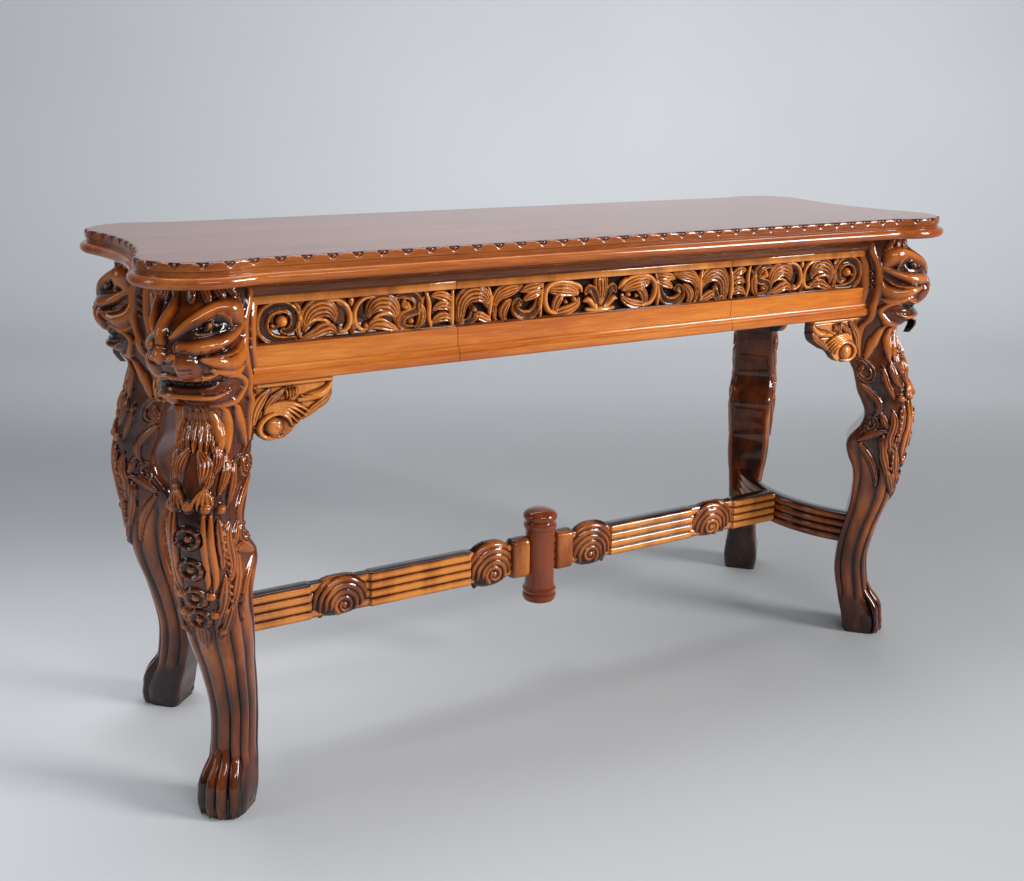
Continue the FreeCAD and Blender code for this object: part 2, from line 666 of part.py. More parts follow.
def build_drawer():
    """The drawer: a pierced front on a solid board, with sides, a back and a floor, and its carcase."""
    fret_low = f"{FRIEZE_LOW} + rail_height"
    level = f"(({fret_low}) + ({FRIEZE_TOP} - fret_border)) / 2"
    half = "(drawer_half - drawer_gap / 2)"
    front_rail = body("DrawerRail")
    pad(front_rail, rail_profile(sketch(front_rail, "YZ_Plane", "RailSection"), FACE_Y, -1), f"2 * {half}",
        both_ways=True)
    node(front_rail, "drawer_rail")

    fret = body("DrawerFret")
    board = sketch(fret, "XZ_Plane", "PanelOutline", f"{FACE_Y} - fret_thick")
    high = f"{FRIEZE_TOP} - drawer_gap"
    pad(fret, loop(board, [(f"-{half}", fret_low), (half, fret_low), (half, high), (f"-{half}", high)]),
        "fret_thick")
    pierced(fret, "XZ_Plane", "0", level, 5)
    node(fret, "drawer_fret")

    back_of_front = f"-({FACE_Y} - rail_depth)"
    filler = block("DrawerFiller", (f"-{half}", f"-({FACE_Y} - fret_thick)", fret_low),
                   (f"2 * {half}", "rail_depth - fret_thick", f"{high} - ({fret_low})"))
    box_half = "(drawer_half - drawer_side_gap)"
    low = f"({FRIEZE_LOW} + drawer_foot + runner_height + slide_gap)"
    inner_front = block("InnerFront", (f"-{box_half}", back_of_front, low),
                        (f"2 * {box_half}", "inner_front_thick", "drawer_side_height"))
    node(fuse("DrawerBoard", [filler, inner_front]), "drawer_inner_front")
    side_start = f"{back_of_front} + inner_front_thick"
    side_length = "(drawer_depth - inner_front_thick)"
    inner_half = f"({box_half} - drawer_side_thick)"
    for name, side in SIDES.items():
        place = f"-{box_half}" if side < 0 else inner_half
        board = block("DrawerSide_" + name, (place, side_start, low),
                      ("drawer_side_thick", side_length, "drawer_side_height"))
        node(board, "drawer_side_" + name)
    back = block("DrawerBack", (f"-{inner_half}", f"{side_start} + {side_length} - drawer_back_thick", low),
                 (f"2 * {inner_half}", "drawer_back_thick", "drawer_side_height"))
    node(back, "drawer_back")
    floor = block("DrawerFloor", (f"-{inner_half}", side_start, f"{low} + drawer_floor_rise"),
                  (f"2 * {inner_half}", f"{side_length} - drawer_back_thick", "drawer_floor_thick"))
    node(floor, "drawer_bottom")

    for name, side in SIDES.items():
        inner_face = "drawer_half + drawer_gap / 2"
        place = inner_face if side > 0 else f"-({inner_face}) - partition_thick"
        length = f"2 * ({FACE_Y} - rail_depth)"
        wall = block("Partition_" + name, (place, back_of_front, f"{FRIEZE_LOW} + drawer_foot"),
                     ("partition_thick", length, "frieze_height - drawer_foot"))
        node(wall, "drawer_partition_" + name)
        under = inner_face + " - runner_width" if side > 0 else f"-({inner_face})"
        carcase_start = f"{back_of_front} + slide_gap"
        carcase_length = f"{length} - slide_gap"
        runner = block("Runner_" + name, (under, carcase_start, f"{FRIEZE_LOW} + drawer_foot"),
                       ("runner_width", carcase_length, "runner_height"))
        node(runner, "drawer_runner_" + name)
        kicker_low = f"({low} + drawer_side_height + slide_gap)"
        kicker = block("Kicker_" + name, (under, carcase_start, kicker_low),
                       ("runner_width", carcase_length, f"{FRIEZE_TOP} - {kicker_low}"))
        node(kicker, "drawer_kicker_" + name)
    stop_start = f"{side_start} + {side_length} + slide_gap"
    stops = [block("Stop_" + name,
                   (f"{side} * (drawer_half + drawer_gap / 2 - runner_width / 2) - stop_size / 2", stop_start,
                    f"{FRIEZE_LOW} + drawer_foot + runner_height"), ("stop_size", "stop_size", "stop_size"))
             for name, side in SIDES.items()]
    node(fuse("Stops", stops), "drawer_stops")


# ---------------------------------------------------------------- the stretchers

def stretcher_outline(item, sign):
    """One half of the long stretcher, seen from the front, with its two leaf bosses and its shoulder."""
    low = "stretcher_low"
    high = "(stretcher_low + stretcher_height)"
    end = "(leg_x - bow_inset - end_stretcher_thick / 2)"
    shoulder = "(near_leaf_in - leaf_gap)"

    def spot(along, up):
        return f"{sign} * {along}", up

    def arc(along, up, radius):
        return f"{sign} * {along}", up, f"{sign} * {radius}"
    near = "(near_leaf_out - near_leaf_in)"
    far = "(far_leaf_out - far_leaf_in)"
    near_round = f"({near} * {near} / 4 + swell_near * swell_near) / (2 * swell_near)"
    far_round = f"({far} * {far} / 4 + swell_far * swell_far) / (2 * swell_far)"
    start = "(drum_radius - shoulder_bury)"
    return loop(item, [
        arc(start, f"{low} - shoulder_flare", "shoulder_radius"),
        arc(shoulder, f"{low} + shoulder_dip", near_round),
        spot("near_leaf_out", low),
        arc("far_leaf_in", low, far_round),
        spot("far_leaf_out", low),
        spot(end, low),
        spot(end, high),
        arc("far_leaf_out", high, far_round),
        spot("far_leaf_in", high),
        arc("near_leaf_out", high, near_round),
        arc(shoulder, f"{high} - shoulder_dip", "shoulder_radius"),
        spot(start, f"{high} + shoulder_flare"),
    ])


def build_stretchers(planks):
    """Two bowed end stretchers, the long stretcher in two halves, and the turned drum between them."""
    outer_reach = "(end_stretcher_radius + end_stretcher_thick / 2)"
    centre = "(leg_x - bow_inset + end_stretcher_radius)"
    for name, side in SIDES.items():
        bow = body("EndStretcher_" + name)
        plan = sketch(bow, "XY_Plane", "BowOutline", "stretcher_low - end_stretcher_drop")
        run = "(leg_y - stretcher_tenon)"
        inner = "(end_stretcher_radius - end_stretcher_thick / 2)"
        outer_x = f"{side} * ({centre} - sqrt({outer_reach} * {outer_reach} - {run} * {run}))"
        inner_x = f"{side} * ({centre} - sqrt({inner} * {inner} - {run} * {run}))"
        loop(plan, [(outer_x, f"-{run}", f"{-side} * {outer_reach}"), (outer_x, run),
                    (inner_x, run, f"{side} * {inner}"), (inner_x, f"-{run}")])
        pad(bow, plan, "end_stretcher_height")
        front_end = cut("EndStretcherFront_" + name, bow, planks["front_" + name])
        node(cut("EndStretcherCut_" + name, front_end, planks["rear_" + name]), "end_stretcher_" + name)
        bar = body("Stretcher_" + name)
        pad(bar, stretcher_outline(sketch(bar, "XZ_Plane", "StretcherOutline"), side), "stretcher_thick",
            both_ways=True)
        tools = fuse("StretcherTools_" + name, [bow, drum_space()])
        node(cut("StretcherCut_" + name, bar, tools), "centre_stretcher_" + name)
    drum = body("Drum")
    profile = sketch(drum, "XZ_Plane", "DrumProfile")
    top = "(drum_low + drum_height)"
    neck = f"({top} - cap_height)"
    bead = "(drum_low + foot_bead_height)"
    loop(profile, [
        ("0", "drum_low"),
        ("drum_radius", "drum_low"),
        ("drum_radius", bead),
        ("drum_radius - drum_bead", bead),
        ("drum_radius - drum_bead", neck),
        ("drum_radius", neck),
        ("drum_radius", top),
        ("0", top),
    ])
    turning = drum.newObject("PartDesign::Revolution", "Turning")
    turning.Profile = profile
    turning.ReferenceAxis = (profile, ["V_Axis"])
    turning.Angle = 360
    node(drum, "centre_drum")


def drum_space():
    """A cylinder as wide as the middle of the drum, to hollow the shoulders that fit round it."""
    item = doc.addObject("Part::Cylinder", "DrumSpace")
    return bound(item, Radius="drum_radius - drum_bead", Height="drum_height", Placement__Base__z="drum_low")


# ---------------------------------------------------------------- the corner braces

def build_braces():
    """A brace across each inner corner, flat against the post's back and the two rails."""
    braces = []
    for name, signs in CORNERS.items():
        brace = body("Brace_" + name)
        inset = "((rail_depth + face_inset) * sqrt(2))"
        near, far = "post_back", "(post_back + brace_thick)"
        plan = sketch(brace, "XY_Plane", "BraceOutline", f"{FRIEZE_LOW} + brace_rise")
        loop(plan, [(f"-{near}", f"-({near} - {inset})"), (f"-{near}", f"{near} - {inset}"),
                    (f"-{far}", f"{far} - {inset}"), (f"-{far}", f"-({far} - {inset})")])
        pad(brace, plan, "brace_height")
        turn_to_corner(brace, signs)
        braces.append(brace)
    node(fuse("Braces", braces), "corner_braces")


def check_document():
    """Stop with a plain message if any object of the document failed."""
    failed = [f"{item.Name} ({item.Label}): {item.getStatusString()}" for item in doc.Objects
              if "Invalid" in item.State or "Error" in item.State]
    if failed:
        raise RuntimeError("these objects failed: " + "; ".join(failed))
    for name, item in nodes:
        if item.Shape.isNull() or not item.Shape.isValid() or not item.Shape.Solids:
            raise RuntimeError(f"{name} has no valid solid")


sheet = fill_sheet()
build_top()
leg_planks = {name: build_leg(name, signs) for name, signs in CORNERS.items()}
build_frieze(leg_spaces("PostSpace", "post_half", FRIEZE_LOW, "cove_height + frieze_height"))
build_brackets(leg_spaces("NeckSpace", "neck_half", f"{FRIEZE_LOW} - 2 * bracket_drop", "3 * bracket_drop"))
build_drawer()
build_stretchers(leg_planks)
build_braces()
doc.recompute()
check_document()

os.makedirs("parts", exist_ok=True)
for node_name, node_object in nodes:
    node_object.Shape.exportStep(f"parts/{node_name}.step")
    box = node_object.Shape.BoundBox
    print(f"{node_name}: {len(node_object.Shape.Solids)} solid(s), volume {node_object.Shape.Volume:.0f},"
          f" X {box.XMin:.1f}..{box.XMax:.1f} Y {box.YMin:.1f}..{box.YMax:.1f} Z {box.ZMin:.1f}..{box.ZMax:.1f}")
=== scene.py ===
import logging
import math
from dataclasses import dataclass, field
from enum import Enum
from typing import Callable, Iterable, Sequence

import bmesh
import bpy
import numpy as np
from mathutils import Matrix, Vector


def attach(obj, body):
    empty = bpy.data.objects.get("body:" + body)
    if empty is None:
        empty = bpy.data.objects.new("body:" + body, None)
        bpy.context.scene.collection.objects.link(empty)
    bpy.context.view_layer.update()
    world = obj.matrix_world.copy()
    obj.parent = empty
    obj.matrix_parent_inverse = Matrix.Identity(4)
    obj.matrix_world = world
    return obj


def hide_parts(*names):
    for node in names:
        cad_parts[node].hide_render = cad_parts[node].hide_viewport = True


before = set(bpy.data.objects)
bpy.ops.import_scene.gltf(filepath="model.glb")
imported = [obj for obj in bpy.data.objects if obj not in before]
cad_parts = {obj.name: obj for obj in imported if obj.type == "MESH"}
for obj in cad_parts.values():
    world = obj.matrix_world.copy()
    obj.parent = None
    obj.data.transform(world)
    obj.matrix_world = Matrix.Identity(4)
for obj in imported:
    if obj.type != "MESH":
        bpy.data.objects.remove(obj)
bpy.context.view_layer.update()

log = logging.getLogger("pier_table")
MM = 0.001
SIDES = (("left", -1), ("right", 1))
DEPTHS = (("front", -1), ("rear", 1))
Knot = Sequence[float]


# ---------------------------------------------------------------- shader tools

class Wire:
    """A socket that carries a number; arithmetic on it adds Math nodes."""

    def __init__(self, shader: "Shader", socket: bpy.types.NodeSocket) -> None:
        """Wrap one output socket."""
        self.shader = shader
        self.socket = socket

    def math(self, operation: str, *others: "Wire | float", clamp: bool = False) -> "Wire":
        """Add a Math node.

        Args:
            operation: The node's operation.
            others: What follows this wire.
            clamp: Whether the result is kept between 0 and 1.

        Returns:
            The result.
        """
        return self.shader.math(operation, self, *others, clamp=clamp)

    def __add__(self, other: "Wire | float") -> "Wire":
        """This plus other."""
        return self.math("ADD", other)

    def __sub__(self, other: "Wire | float") -> "Wire":
        """This minus other."""
        return self.math("SUBTRACT", other)

    def __mul__(self, other: "Wire | float") -> "Wire":
        """This times other."""
        return self.math("MULTIPLY", other)

    def __rsub__(self, other: float) -> "Wire":
        """Other minus this."""
        return self.shader.math("SUBTRACT", other, self)

    def clamped(self) -> "Wire":
        """This, kept between 0 and 1."""
        return self.math("ADD", 0.0, clamp=True)


class Shader:
    """The node tree of one material."""

    def __init__(self, name: str) -> None:
        """Start an empty material."""
        self.material = bpy.data.materials.new(name)
        self.material.use_nodes = True
        self.tree = self.material.node_tree
        self.tree.nodes.clear()

    def node(self, kind: str, settings: dict | None = None, sockets: dict | None = None) -> bpy.types.Node:
        """Add a node.

        Args:
            kind: The node's type.
            settings: Properties to set first; "stops" fills a colour ramp.
            sockets: Values or links, by the name or number of the input.

        Returns:
            The node.
        """
        item = self.tree.nodes.new(kind)
        for name, setting in (settings or {}).items():
            if name != "stops":
                setattr(item, name, setting)
                continue
            ramp = item.color_ramp
            while len(ramp.elements) < len(setting):
                ramp.elements.new(0.5)
            for element, (place, colour) in zip(ramp.elements, setting):
                element.position = place
                element.color = (*colour, 1.0)
        for key, value in (sockets or {}).items():
            socket = item.inputs[key]
            if isinstance(value, Wire):
                value = value.socket
            if isinstance(value, bpy.types.NodeSocket):
                self.tree.links.new(value, socket)
            else:
                socket.default_value = value
        return item

    def math(self, operation: str, *values: "Wire | float", clamp: bool = False) -> Wire:
        """A Math node on the given values."""
        item = self.node("ShaderNodeMath", {"operation": operation, "use_clamp": clamp},
                         dict(enumerate(values)))
        return Wire(self, item.outputs[0])

    def wear(self) -> Wire:
        """How bright the carving is, from 0 to 1: lighter where rubbed on the crests, with painted shade in
        the hollows.
        """
        return Wire(self, self.node("ShaderNodeAttribute", {"attribute_name": "wear"}).outputs["Fac"])

    def axis(self, number: int) -> Wire:
        """One of the three object coordinates, in metres."""
        where = self.node("ShaderNodeTexCoord")
        split = self.node("ShaderNodeSeparateXYZ", None, {"Vector": where.outputs["Object"]})
        return Wire(self, split.outputs[number])

    def place(self, scale: Sequence[float]) -> bpy.types.NodeSocket:
        """Object coordinates, stretched by a scale along each axis."""
        where = self.node("ShaderNodeTexCoord")
        return self.node("ShaderNodeMapping", None, {"Vector": where.outputs["Object"],
                                                     "Scale": tuple(scale)}).outputs["Vector"]

    def noise(self, scale: Sequence[float], detail: float, rough: float, bend: float = 0.0) -> Wire:
        """A noise on stretched object coordinates, from 0 to 1."""
        item = self.node("ShaderNodeTexNoise", None,
                         {"Vector": self.place(scale), "Scale": 1.0, "Detail": detail,
                          "Roughness": rough, "Distortion": bend})
        return Wire(self, item.outputs["Fac"])

    def ramp(self, value: Wire, stops: Sequence[tuple[float, Sequence[float]]],
             smooth: bool = False) -> bpy.types.NodeSocket:
        """A colour ramp, with soft bends at its stops if asked."""
        item = self.node("ShaderNodeValToRGB", {"stops": stops}, {"Fac": value})
        item.color_ramp.interpolation = "B_SPLINE" if smooth else "LINEAR"
        return item.outputs["Color"]

    def bump(self, height: Wire, distance: float, strength: float) -> bpy.types.NodeSocket:
        """A bumped normal."""
        return self.node("ShaderNodeBump", None, {"Height": height, "Distance": distance,
                                                  "Strength": strength}).outputs["Normal"]

    def surface(self, **sockets: object) -> bpy.types.Material:
        """Finish with a Principled shader; two words of a socket's name are joined by an underscore."""
        named = {name.replace("_", " "): value for name, value in sockets.items()}
        body = self.node("ShaderNodeBsdfPrincipled", None, named)
        self.node("ShaderNodeOutputMaterial", None, {"Surface": body.outputs["BSDF"]})
        return self.material


class Grain(Enum):
    """The axis that the wood's fibres run along."""

    X = (1.0, 14.0, 14.0)
    Y = (14.0, 1.0, 14.0)


@dataclass(frozen=True)
class Mahogany:
    """Lacquered mahogany on straight work: fine straight grain under a glossy coat."""

    name: str
    grain: Grain
    dark: tuple[float, float, float] = (0.150, 0.026, 0.004)
    mid: tuple[float, float, float] = (0.430, 0.105, 0.013)
    light: tuple[float, float, float] = (0.700, 0.250, 0.036)
    gloss: float = 0.2
    coat: float = 0.75
    painted_recess_shade: bool = False

    def build(self) -> bpy.types.Material:
        """Make the material."""
        shader = Shader(self.name)
        stretch = self.grain.value
        fibres = shader.noise([axis * 17 for axis in stretch], 4, 0.6, 0.3)
        clouds = shader.noise([axis * 1.6 for axis in stretch], 2, 0.5)
        pores = shader.noise([axis * 60 for axis in stretch], 2, 0.6)
        tone = fibres * 0.5 + clouds * 0.75 - 0.12
        # Painted shade: the tone is multiplied by the brightness attribute, so the lip's sunk darts come out
        # dark.
        if self.painted_recess_shade:
            tone = tone * shader.wear()
        colour = shader.ramp(tone.clamped(),
                             ((0.14, self.dark), (0.46, self.mid), (0.78, self.light)))
        return shader.surface(Base_Color=colour, Roughness=fibres * 0.1 + self.gloss, Specular_IOR_Level=0.1,
                              Coat_Weight=self.coat, Coat_Roughness=0.05,
                              Normal=shader.bump(pores, 0.00006, 0.5))


@dataclass(frozen=True)
class CarvedMahogany:
    """Carved mahogany under thick lacquer: lighter where rubbed on the crests and near black in the recesses,
    which is partly dark patina and partly painted shade.
    """

    name: str
    recess: tuple[float, float, float] = (0.004, 0.0016, 0.0012)
    shade: tuple[float, float, float] = (0.024, 0.0062, 0.0034)
    mid: tuple[float, float, float] = (0.150, 0.0310, 0.0070)
    crest: tuple[float, float, float] = (0.440, 0.1200, 0.0170)
    gloss: float = 0.16
    # Painted shade: the share by which it is darker at the floor, where less light reaches, and the height in
    # metres where that shade has faded out.
    painted_floor_shade: float = 0.0
    floor_shade_fades_at: float = 0.4

    def build(self) -> bpy.types.Material:
        """Make the material. Painted shade darkens it towards the floor: by the given share at the floor,
        fading out at the given height in metres.
        """
        shader = Shader(self.name)
        wear = shader.wear()
        rising = shader.axis(2).math("MULTIPLY", 1 / self.floor_shade_fades_at, clamp=True)
        wear = wear * (rising * self.painted_floor_shade + (1.0 - self.painted_floor_shade))
        clouds = shader.noise((22, 22, 9), 3, 0.55)
        fibres = shader.noise((170, 170, 26), 3, 0.6, 0.2)
        # The ramp runs from near black in the hollows to orange on the crests: dark patina and rubbing, with
        # painted shade in the hollows.
        tone = (wear * 0.92 + clouds * 0.9 + fibres * 0.16 - 0.53).clamped()
        colour = shader.ramp(tone, ((0.04, self.recess), (0.28, self.shade), (0.56, self.mid),
                                    (0.92, self.crest)))
        return shader.surface(Base_Color=colour, Roughness=(1.0 - wear) * 0.2 + self.gloss,
                              Specular_IOR_Level=0.08, Coat_Weight=0.9, Coat_Roughness=0.07,
                              Normal=shader.bump(clouds + fibres * 0.3, 0.0007, 0.6))


@dataclass(frozen=True)
class PlainWood:
    """Unpolished secondary wood inside the frieze."""

    name: str
    grain: Grain
    low: tuple[float, float, float] = (0.20, 0.105, 0.05)
    high: tuple[float, float, float] = (0.42, 0.27, 0.15)

    def build(self) -> bpy.types.Material:
        """Make the material."""
        shader = Shader(self.name)
        fibres = shader.noise([axis * 12 for axis in self.grain.value], 4, 0.6, 0.4)
        colour = shader.ramp(fibres, ((0.3, self.low), (0.72, self.high)))
        return shader.surface(Base_Color=colour, Roughness=fibres * 0.2 + 0.5,
                              Normal=shader.bump(fibres, 0.0002, 0.4))


@dataclass(frozen=True)
class StudioPaint:
    """The matt paint of the floor and backdrop, shaded by how far back it is and towards the right."""

    name: str
    yaw: float
    tone: tuple[float, float, float] = (0.56, 0.575, 0.60)
    near: float = -0.6
    far: float = 4.2
    # Painted shade by depth: a dark band behind the table where its shadow falls, lighter up the backdrop.
    stops: tuple[tuple[float, float], ...] = ((-0.6, 1.14), (-0.2, 1.08), (0.1, 0.84), (0.5, 0.6),
                                              (0.9, 0.54), (1.4, 0.56), (2.0, 0.8), (3.0, 1.0), (4.2, 1.52))
    brightest: float = 1.6
    # Painted shade: how much darker the floor is towards the front right.
    right: float = 0.48

    def build(self) -> bpy.types.Material:
        """Make the material."""
        shader = Shader(self.name)
        x, y = shader.axis(0), shader.axis(1)
        depth = x * math.sin(self.yaw) + y * math.cos(self.yaw)
        span = self.far - self.near
        depth = ((depth - self.near) * (1 / span)).clamped()
        across = x * math.cos(self.yaw) - y * math.sin(self.yaw)
        shade = shader.ramp(depth, [((place - self.near) / span, (share / self.brightest,) * 3)
                                    for place, share in self.stops], smooth=True)
        side = (across * 0.7 + 0.35).clamped() * (1.0 - depth * 1.6).clamped()
        cloud = shader.noise((0.9, 0.9, 0.9), 2, 0.5) * 0.12 + 0.94
        share = Wire(shader, shade) * cloud * (1.0 - side * self.right) * self.brightest
        colour = shader.node("ShaderNodeVectorMath", {"operation": "SCALE"}, {0: self.tone, "Scale": share})
        return shader.surface(Base_Color=colour.outputs["Vector"], Roughness=0.75, Specular_IOR_Level=0.1)


# ---------------------------------------------------------------- carving tools

class Crest(Enum):
    """The shape across a stroke: its number of veins, whether it is hollow, and how steep its sides are."""

    ROUND = (0, False, 0.55)
    SOFT = (0, False, 1.1)
    VEINED = (3, False, 0.5)
    RIBBED = (5, False, 0.5)
    HOLLOW = (0, True, 0.5)

    def height(self, across: np.ndarray) -> tuple[np.ndarray, np.ndarray]:
        """The share of the full rise across the stroke, and how bright it is: lighter where rubbed on the
        crest, with painted shade towards its edges, in its hollow and between its veins.

        Args:
            across: From -1 at one edge to 1 at the other.

        Returns:
            The heights and the brightness with its painted shade, each from 0 to 1.
        """
        veins, hollow, power = self.value
        dome = np.maximum(0.0, 1.0 - across * across) ** power
        if hollow:
            rim = np.exp(-((np.abs(across) - 0.72) / 0.2) ** 2)
            return 0.45 * dome + 0.55 * rim, np.minimum(1.0, 0.25 + 0.9 * rim)
        if not veins:
            return dome, 0.3 + 0.7 * dome
        wave = 0.5 + 0.5 * np.cos(veins * np.pi * across)
        return dome * (0.7 + 0.3 * wave), (0.34 + 0.66 * wave ** 0.7) * (0.45 + 0.55 * dome)


def flow(knots: Sequence[Knot], steps: int = 5) -> list[tuple[float, ...]]:
    """A smooth run through knots of any length.

    Args:
        knots: The points to pass through, each with any number of values.
        steps: How many points each span gets.

    Returns:
        The points of the run, the last knot included.
    """
    padded = [knots[0], *knots, knots[-1]]
    run = []
    for index in range(1, len(padded) - 2):
        before, start, end, after = padded[index - 1:index + 3]
        for step in range(steps):
            t = step / steps
            run.append(tuple(0.5 * (2 * b + (c - a) * t + (2 * a - 5 * b + 4 * c - d) * t * t
                                    + (3 * b - a - 3 * c + d) * t ** 3)
                             for a, b, c, d in zip(before, start, end, after)))
    run.append(tuple(knots[-1]))
    return run


@dataclass(frozen=True)
class Stroke:
    """One carved stroke in a plane: knots of (along, up, half width, rise), in millimetres."""

    knots: tuple[tuple[float, float, float, float], ...]
    crest: Crest
    lobes: int


@dataclass(frozen=True)
class Boss:
    """A ball or button in a plane: its centre, radius and rise, in millimetres."""

    along: float
    up: float
    radius: float
    rise: float


@dataclass(frozen=True)
class Plane:
    """A drawing plane in space: millimetres along, up and out become metres."""

    origin: Vector
    along: Vector
    up: Vector
    out: Vector

    def at(self, along: float, up: float, out: float) -> Vector:
        """A point in space."""
        return self.origin + (self.along * along + self.up * up + self.out * out) * MM

    @classmethod
    def upright(cls, origin: Sequence[float], along: Sequence[float], out: Sequence[float]) -> "Plane":
        """A plane that stands upright, from its origin in millimetres and its ways along and out."""
        return cls(Vector(origin) * MM, Vector(along), Vector((0, 0, 1)), Vector(out))


class Relief:
    """Carving as heights over sample points; each stroke is laid over the ones before it.

    A dark line of painted shade runs round strokes and buttons where the ground is lower than a share of
    their rise.
    """

    rim_width = 1.3
    button_rim = 1.2
    rim_share = 0.7
    rim_depth = 0.5
    rim_shade = 0.4

    def __init__(self, across: np.ndarray, up: np.ndarray, ground: float, wear: float,
                 scale: np.ndarray | float = 1.0) -> None:
        """Start with plain ground.

        Args:
            across: Where each sample lies along the drawing.
            up: Where it lies up the drawing, in millimetres.
            ground: The height of the ground.
            wear: How bright the ground is.
            scale: Millimetres to one unit across, at each sample.
        """
        self.across, self.up = across, up
        self.scale = np.broadcast_to(scale, across.shape)
        self.height = np.full(across.shape, float(ground))
        self.wear = np.full(across.shape, float(wear))
        self.cover = np.zeros(across.shape, dtype=bool)

    def along(self, knots: Sequence[Knot], lobes: int = 0) -> tuple[np.ndarray, ...]:
        """Find the samples near a run of knots of (across, up, half width, rise).

        Args:
            knots: The run.
            lobes: How many lobes its edges have.

        Returns:
            The samples' numbers, their shares of the half width across, the half widths and the rises.
        """
        run = np.array(flow(knots))
        if lobes:
            place = np.linspace(0.0, 1.0, len(run))
            run[:, 2] *= 0.78 + 0.3 * np.abs(np.sin(np.pi * lobes * place)) ** 0.6
        run[:, 2] = np.maximum(run[:, 2], 0.2)
        margin = run[:, 2].max() + 3.0
        side = margin / self.scale
        near = np.flatnonzero((self.up > run[:, 1].min() - margin) & (self.up < run[:, 1].max() + margin)
                              & (self.across > run[:, 0].min() - side)
                              & (self.across < run[:, 0].max() + side))
        x, y, scale = self.across[near], self.up[near], self.scale[near]
        share = np.full(near.shape, 99.0)
        half, rise = np.ones(near.shape), np.zeros(near.shape)
        for start, end in zip(run, run[1:]):
            run_x, run_y = (end[0] - start[0]) * scale, end[1] - start[1]
            off_x, off_y = (x - start[0]) * scale, y - start[1]
            t = np.clip((off_x * run_x + off_y * run_y) / (run_x ** 2 + run_y ** 2 + 1e-9), 0.0, 1.0)
            here = start[2] + (end[2] - start[2]) * t
            away = np.hypot(off_x - t * run_x, off_y - t * run_y) / here
            away = np.copysign(away, run_x * off_y - run_y * off_x)
            closer = np.abs(away) < np.abs(share)
            share = np.where(closer, away, share)
            half = np.where(closer, here, half)
            rise = np.where(closer, start[3] + (end[3] - start[3]) * t, rise)
        return near, share, half, rise

    def stroke(self, knots: Sequence[Knot], crest: Crest = Crest.ROUND, lobes: int = 0,
               level: float | None = 0.0, wear: float = 1.0) -> None:
        """Raise a stroke, with a dark line of painted shade round it.

        Args:
            knots: Its run of (across, up, half width, rise).
            crest: The shape across it.
            lobes: How many lobes its edges have.
            level: The height that it stands on; None for the carving as it is so far.
            wear: How bright its crest is.
        """
        near, share, half, rise = self.along(knots, lobes)
        low = self.height[near] if level is None else np.full(near.shape, level)
        inside = np.abs(share) < 1.0
        spots = near[inside]
        tall, bright = crest.height(share[inside])
        height = low[inside] + rise[inside] * tall
        above = height > self.height[spots]
        self.height[spots[above]] = height[above]
        self.wear[spots[above]] = (bright * wear)[above]
        self.cover[spots] = True
        # Painted shade: a dark line round the stroke, where the ground also sinks a little.
        close = ~inside & ((np.abs(share) - 1.0) * half < self.rim_width)
        rim = close & (self.height[near] < low + rise * self.rim_share)
        self.wear[near[rim]] *= self.rim_shade
        self.height[near[rim]] -= self.rim_depth

    def cut(self, knots: Sequence[Knot], dark: float = 0.9) -> None:
        """Sink a groove as deep as the knots' rises, and darken it with painted shade."""
        near, share, _, depth = self.along(knots)
        inside = np.abs(share) < 1.0
        bowl = 1.0 - share[inside] ** 2
        self.height[near[inside]] -= depth[inside] * bowl
        # Painted shade in the groove.
        self.wear[near[inside]] *= 1.0 - dark * np.sqrt(bowl)

    def dome(self, across: float, up: float, radius: float, rise: float, level: float = 0.0,
             wear: float = 1.0, power: float = 0.5) -> None:
        """Raise a round button, or a softer mound with a higher power."""
        away = np.hypot((self.across - across) * self.scale, self.up - up) / radius
        spots = np.flatnonzero(away < 1.0)
        bulge = (1.0 - away[spots] ** 2) ** power
        height = level + rise * bulge
        above = height > self.height[spots]
        self.height[spots[above]] = height[above]
        self.wear[spots[above]] = (wear * (0.4 + 0.6 * bulge))[above]
        self.cover[spots] = True
        # Painted shade: a dark line round the button.
        close = (away >= 1.0) & ((away - 1.0) * radius < self.button_rim)
        self.wear[close & (self.height < level + rise * self.rim_share)] *= self.rim_shade

    def cushion(self, box: Sequence[float], rise: float, level: float, square: float, wear: float) -> None:
        """Raise a padded block.

        Args:
            box: Left, right, low and high.
            rise: How far its middle stands up.
            level: The height that it stands on.
            square: 2 makes it an egg; more makes it squarer.
            wear: How bright it is.
        """
        left, right, low, high = box
        x = np.abs(self.across * 2 - left - right) / (right - left)
        y = np.abs(self.up * 2 - low - high) / (high - low)
        away = x ** square + y ** square
        spots = np.flatnonzero(away < 1.0)
        bulge = (1.0 - away[spots]) ** 0.4
        self.height[spots] = level + rise * bulge
        self.wear[spots] = wear * (0.35 + 0.65 * bulge)
        self.cover[spots] = True

    def rosette(self, across: float, up: float, radius: float, petals: int, rise: float) -> None:
        """Raise a ring of petals round a ball that sits in a deep bowl, darkened with painted shade."""
        x, y = (self.across - across) * self.scale, self.up - up
        away = np.hypot(x, y) / radius
        spots = np.flatnonzero(away < 1.0)
        here = away[spots]
        leaf = 0.5 + 0.5 * np.cos(petals * np.arctan2(y[spots], x[spots]))
        rim = np.exp(-((here - 0.72) / 0.24) ** 2)
        ball = np.maximum(0.0, 1.0 - (here / 0.34) ** 2) ** 0.5
        self.height[spots] = rise * (rim * (0.86 + 0.14 * leaf) + ball * 0.85) - 1.2
        # Painted shade in the bowl between the petals and the ball.
        self.wear[spots] = np.minimum(1.0, rim ** 1.5 * (0.6 + 0.3 * leaf) + ball)

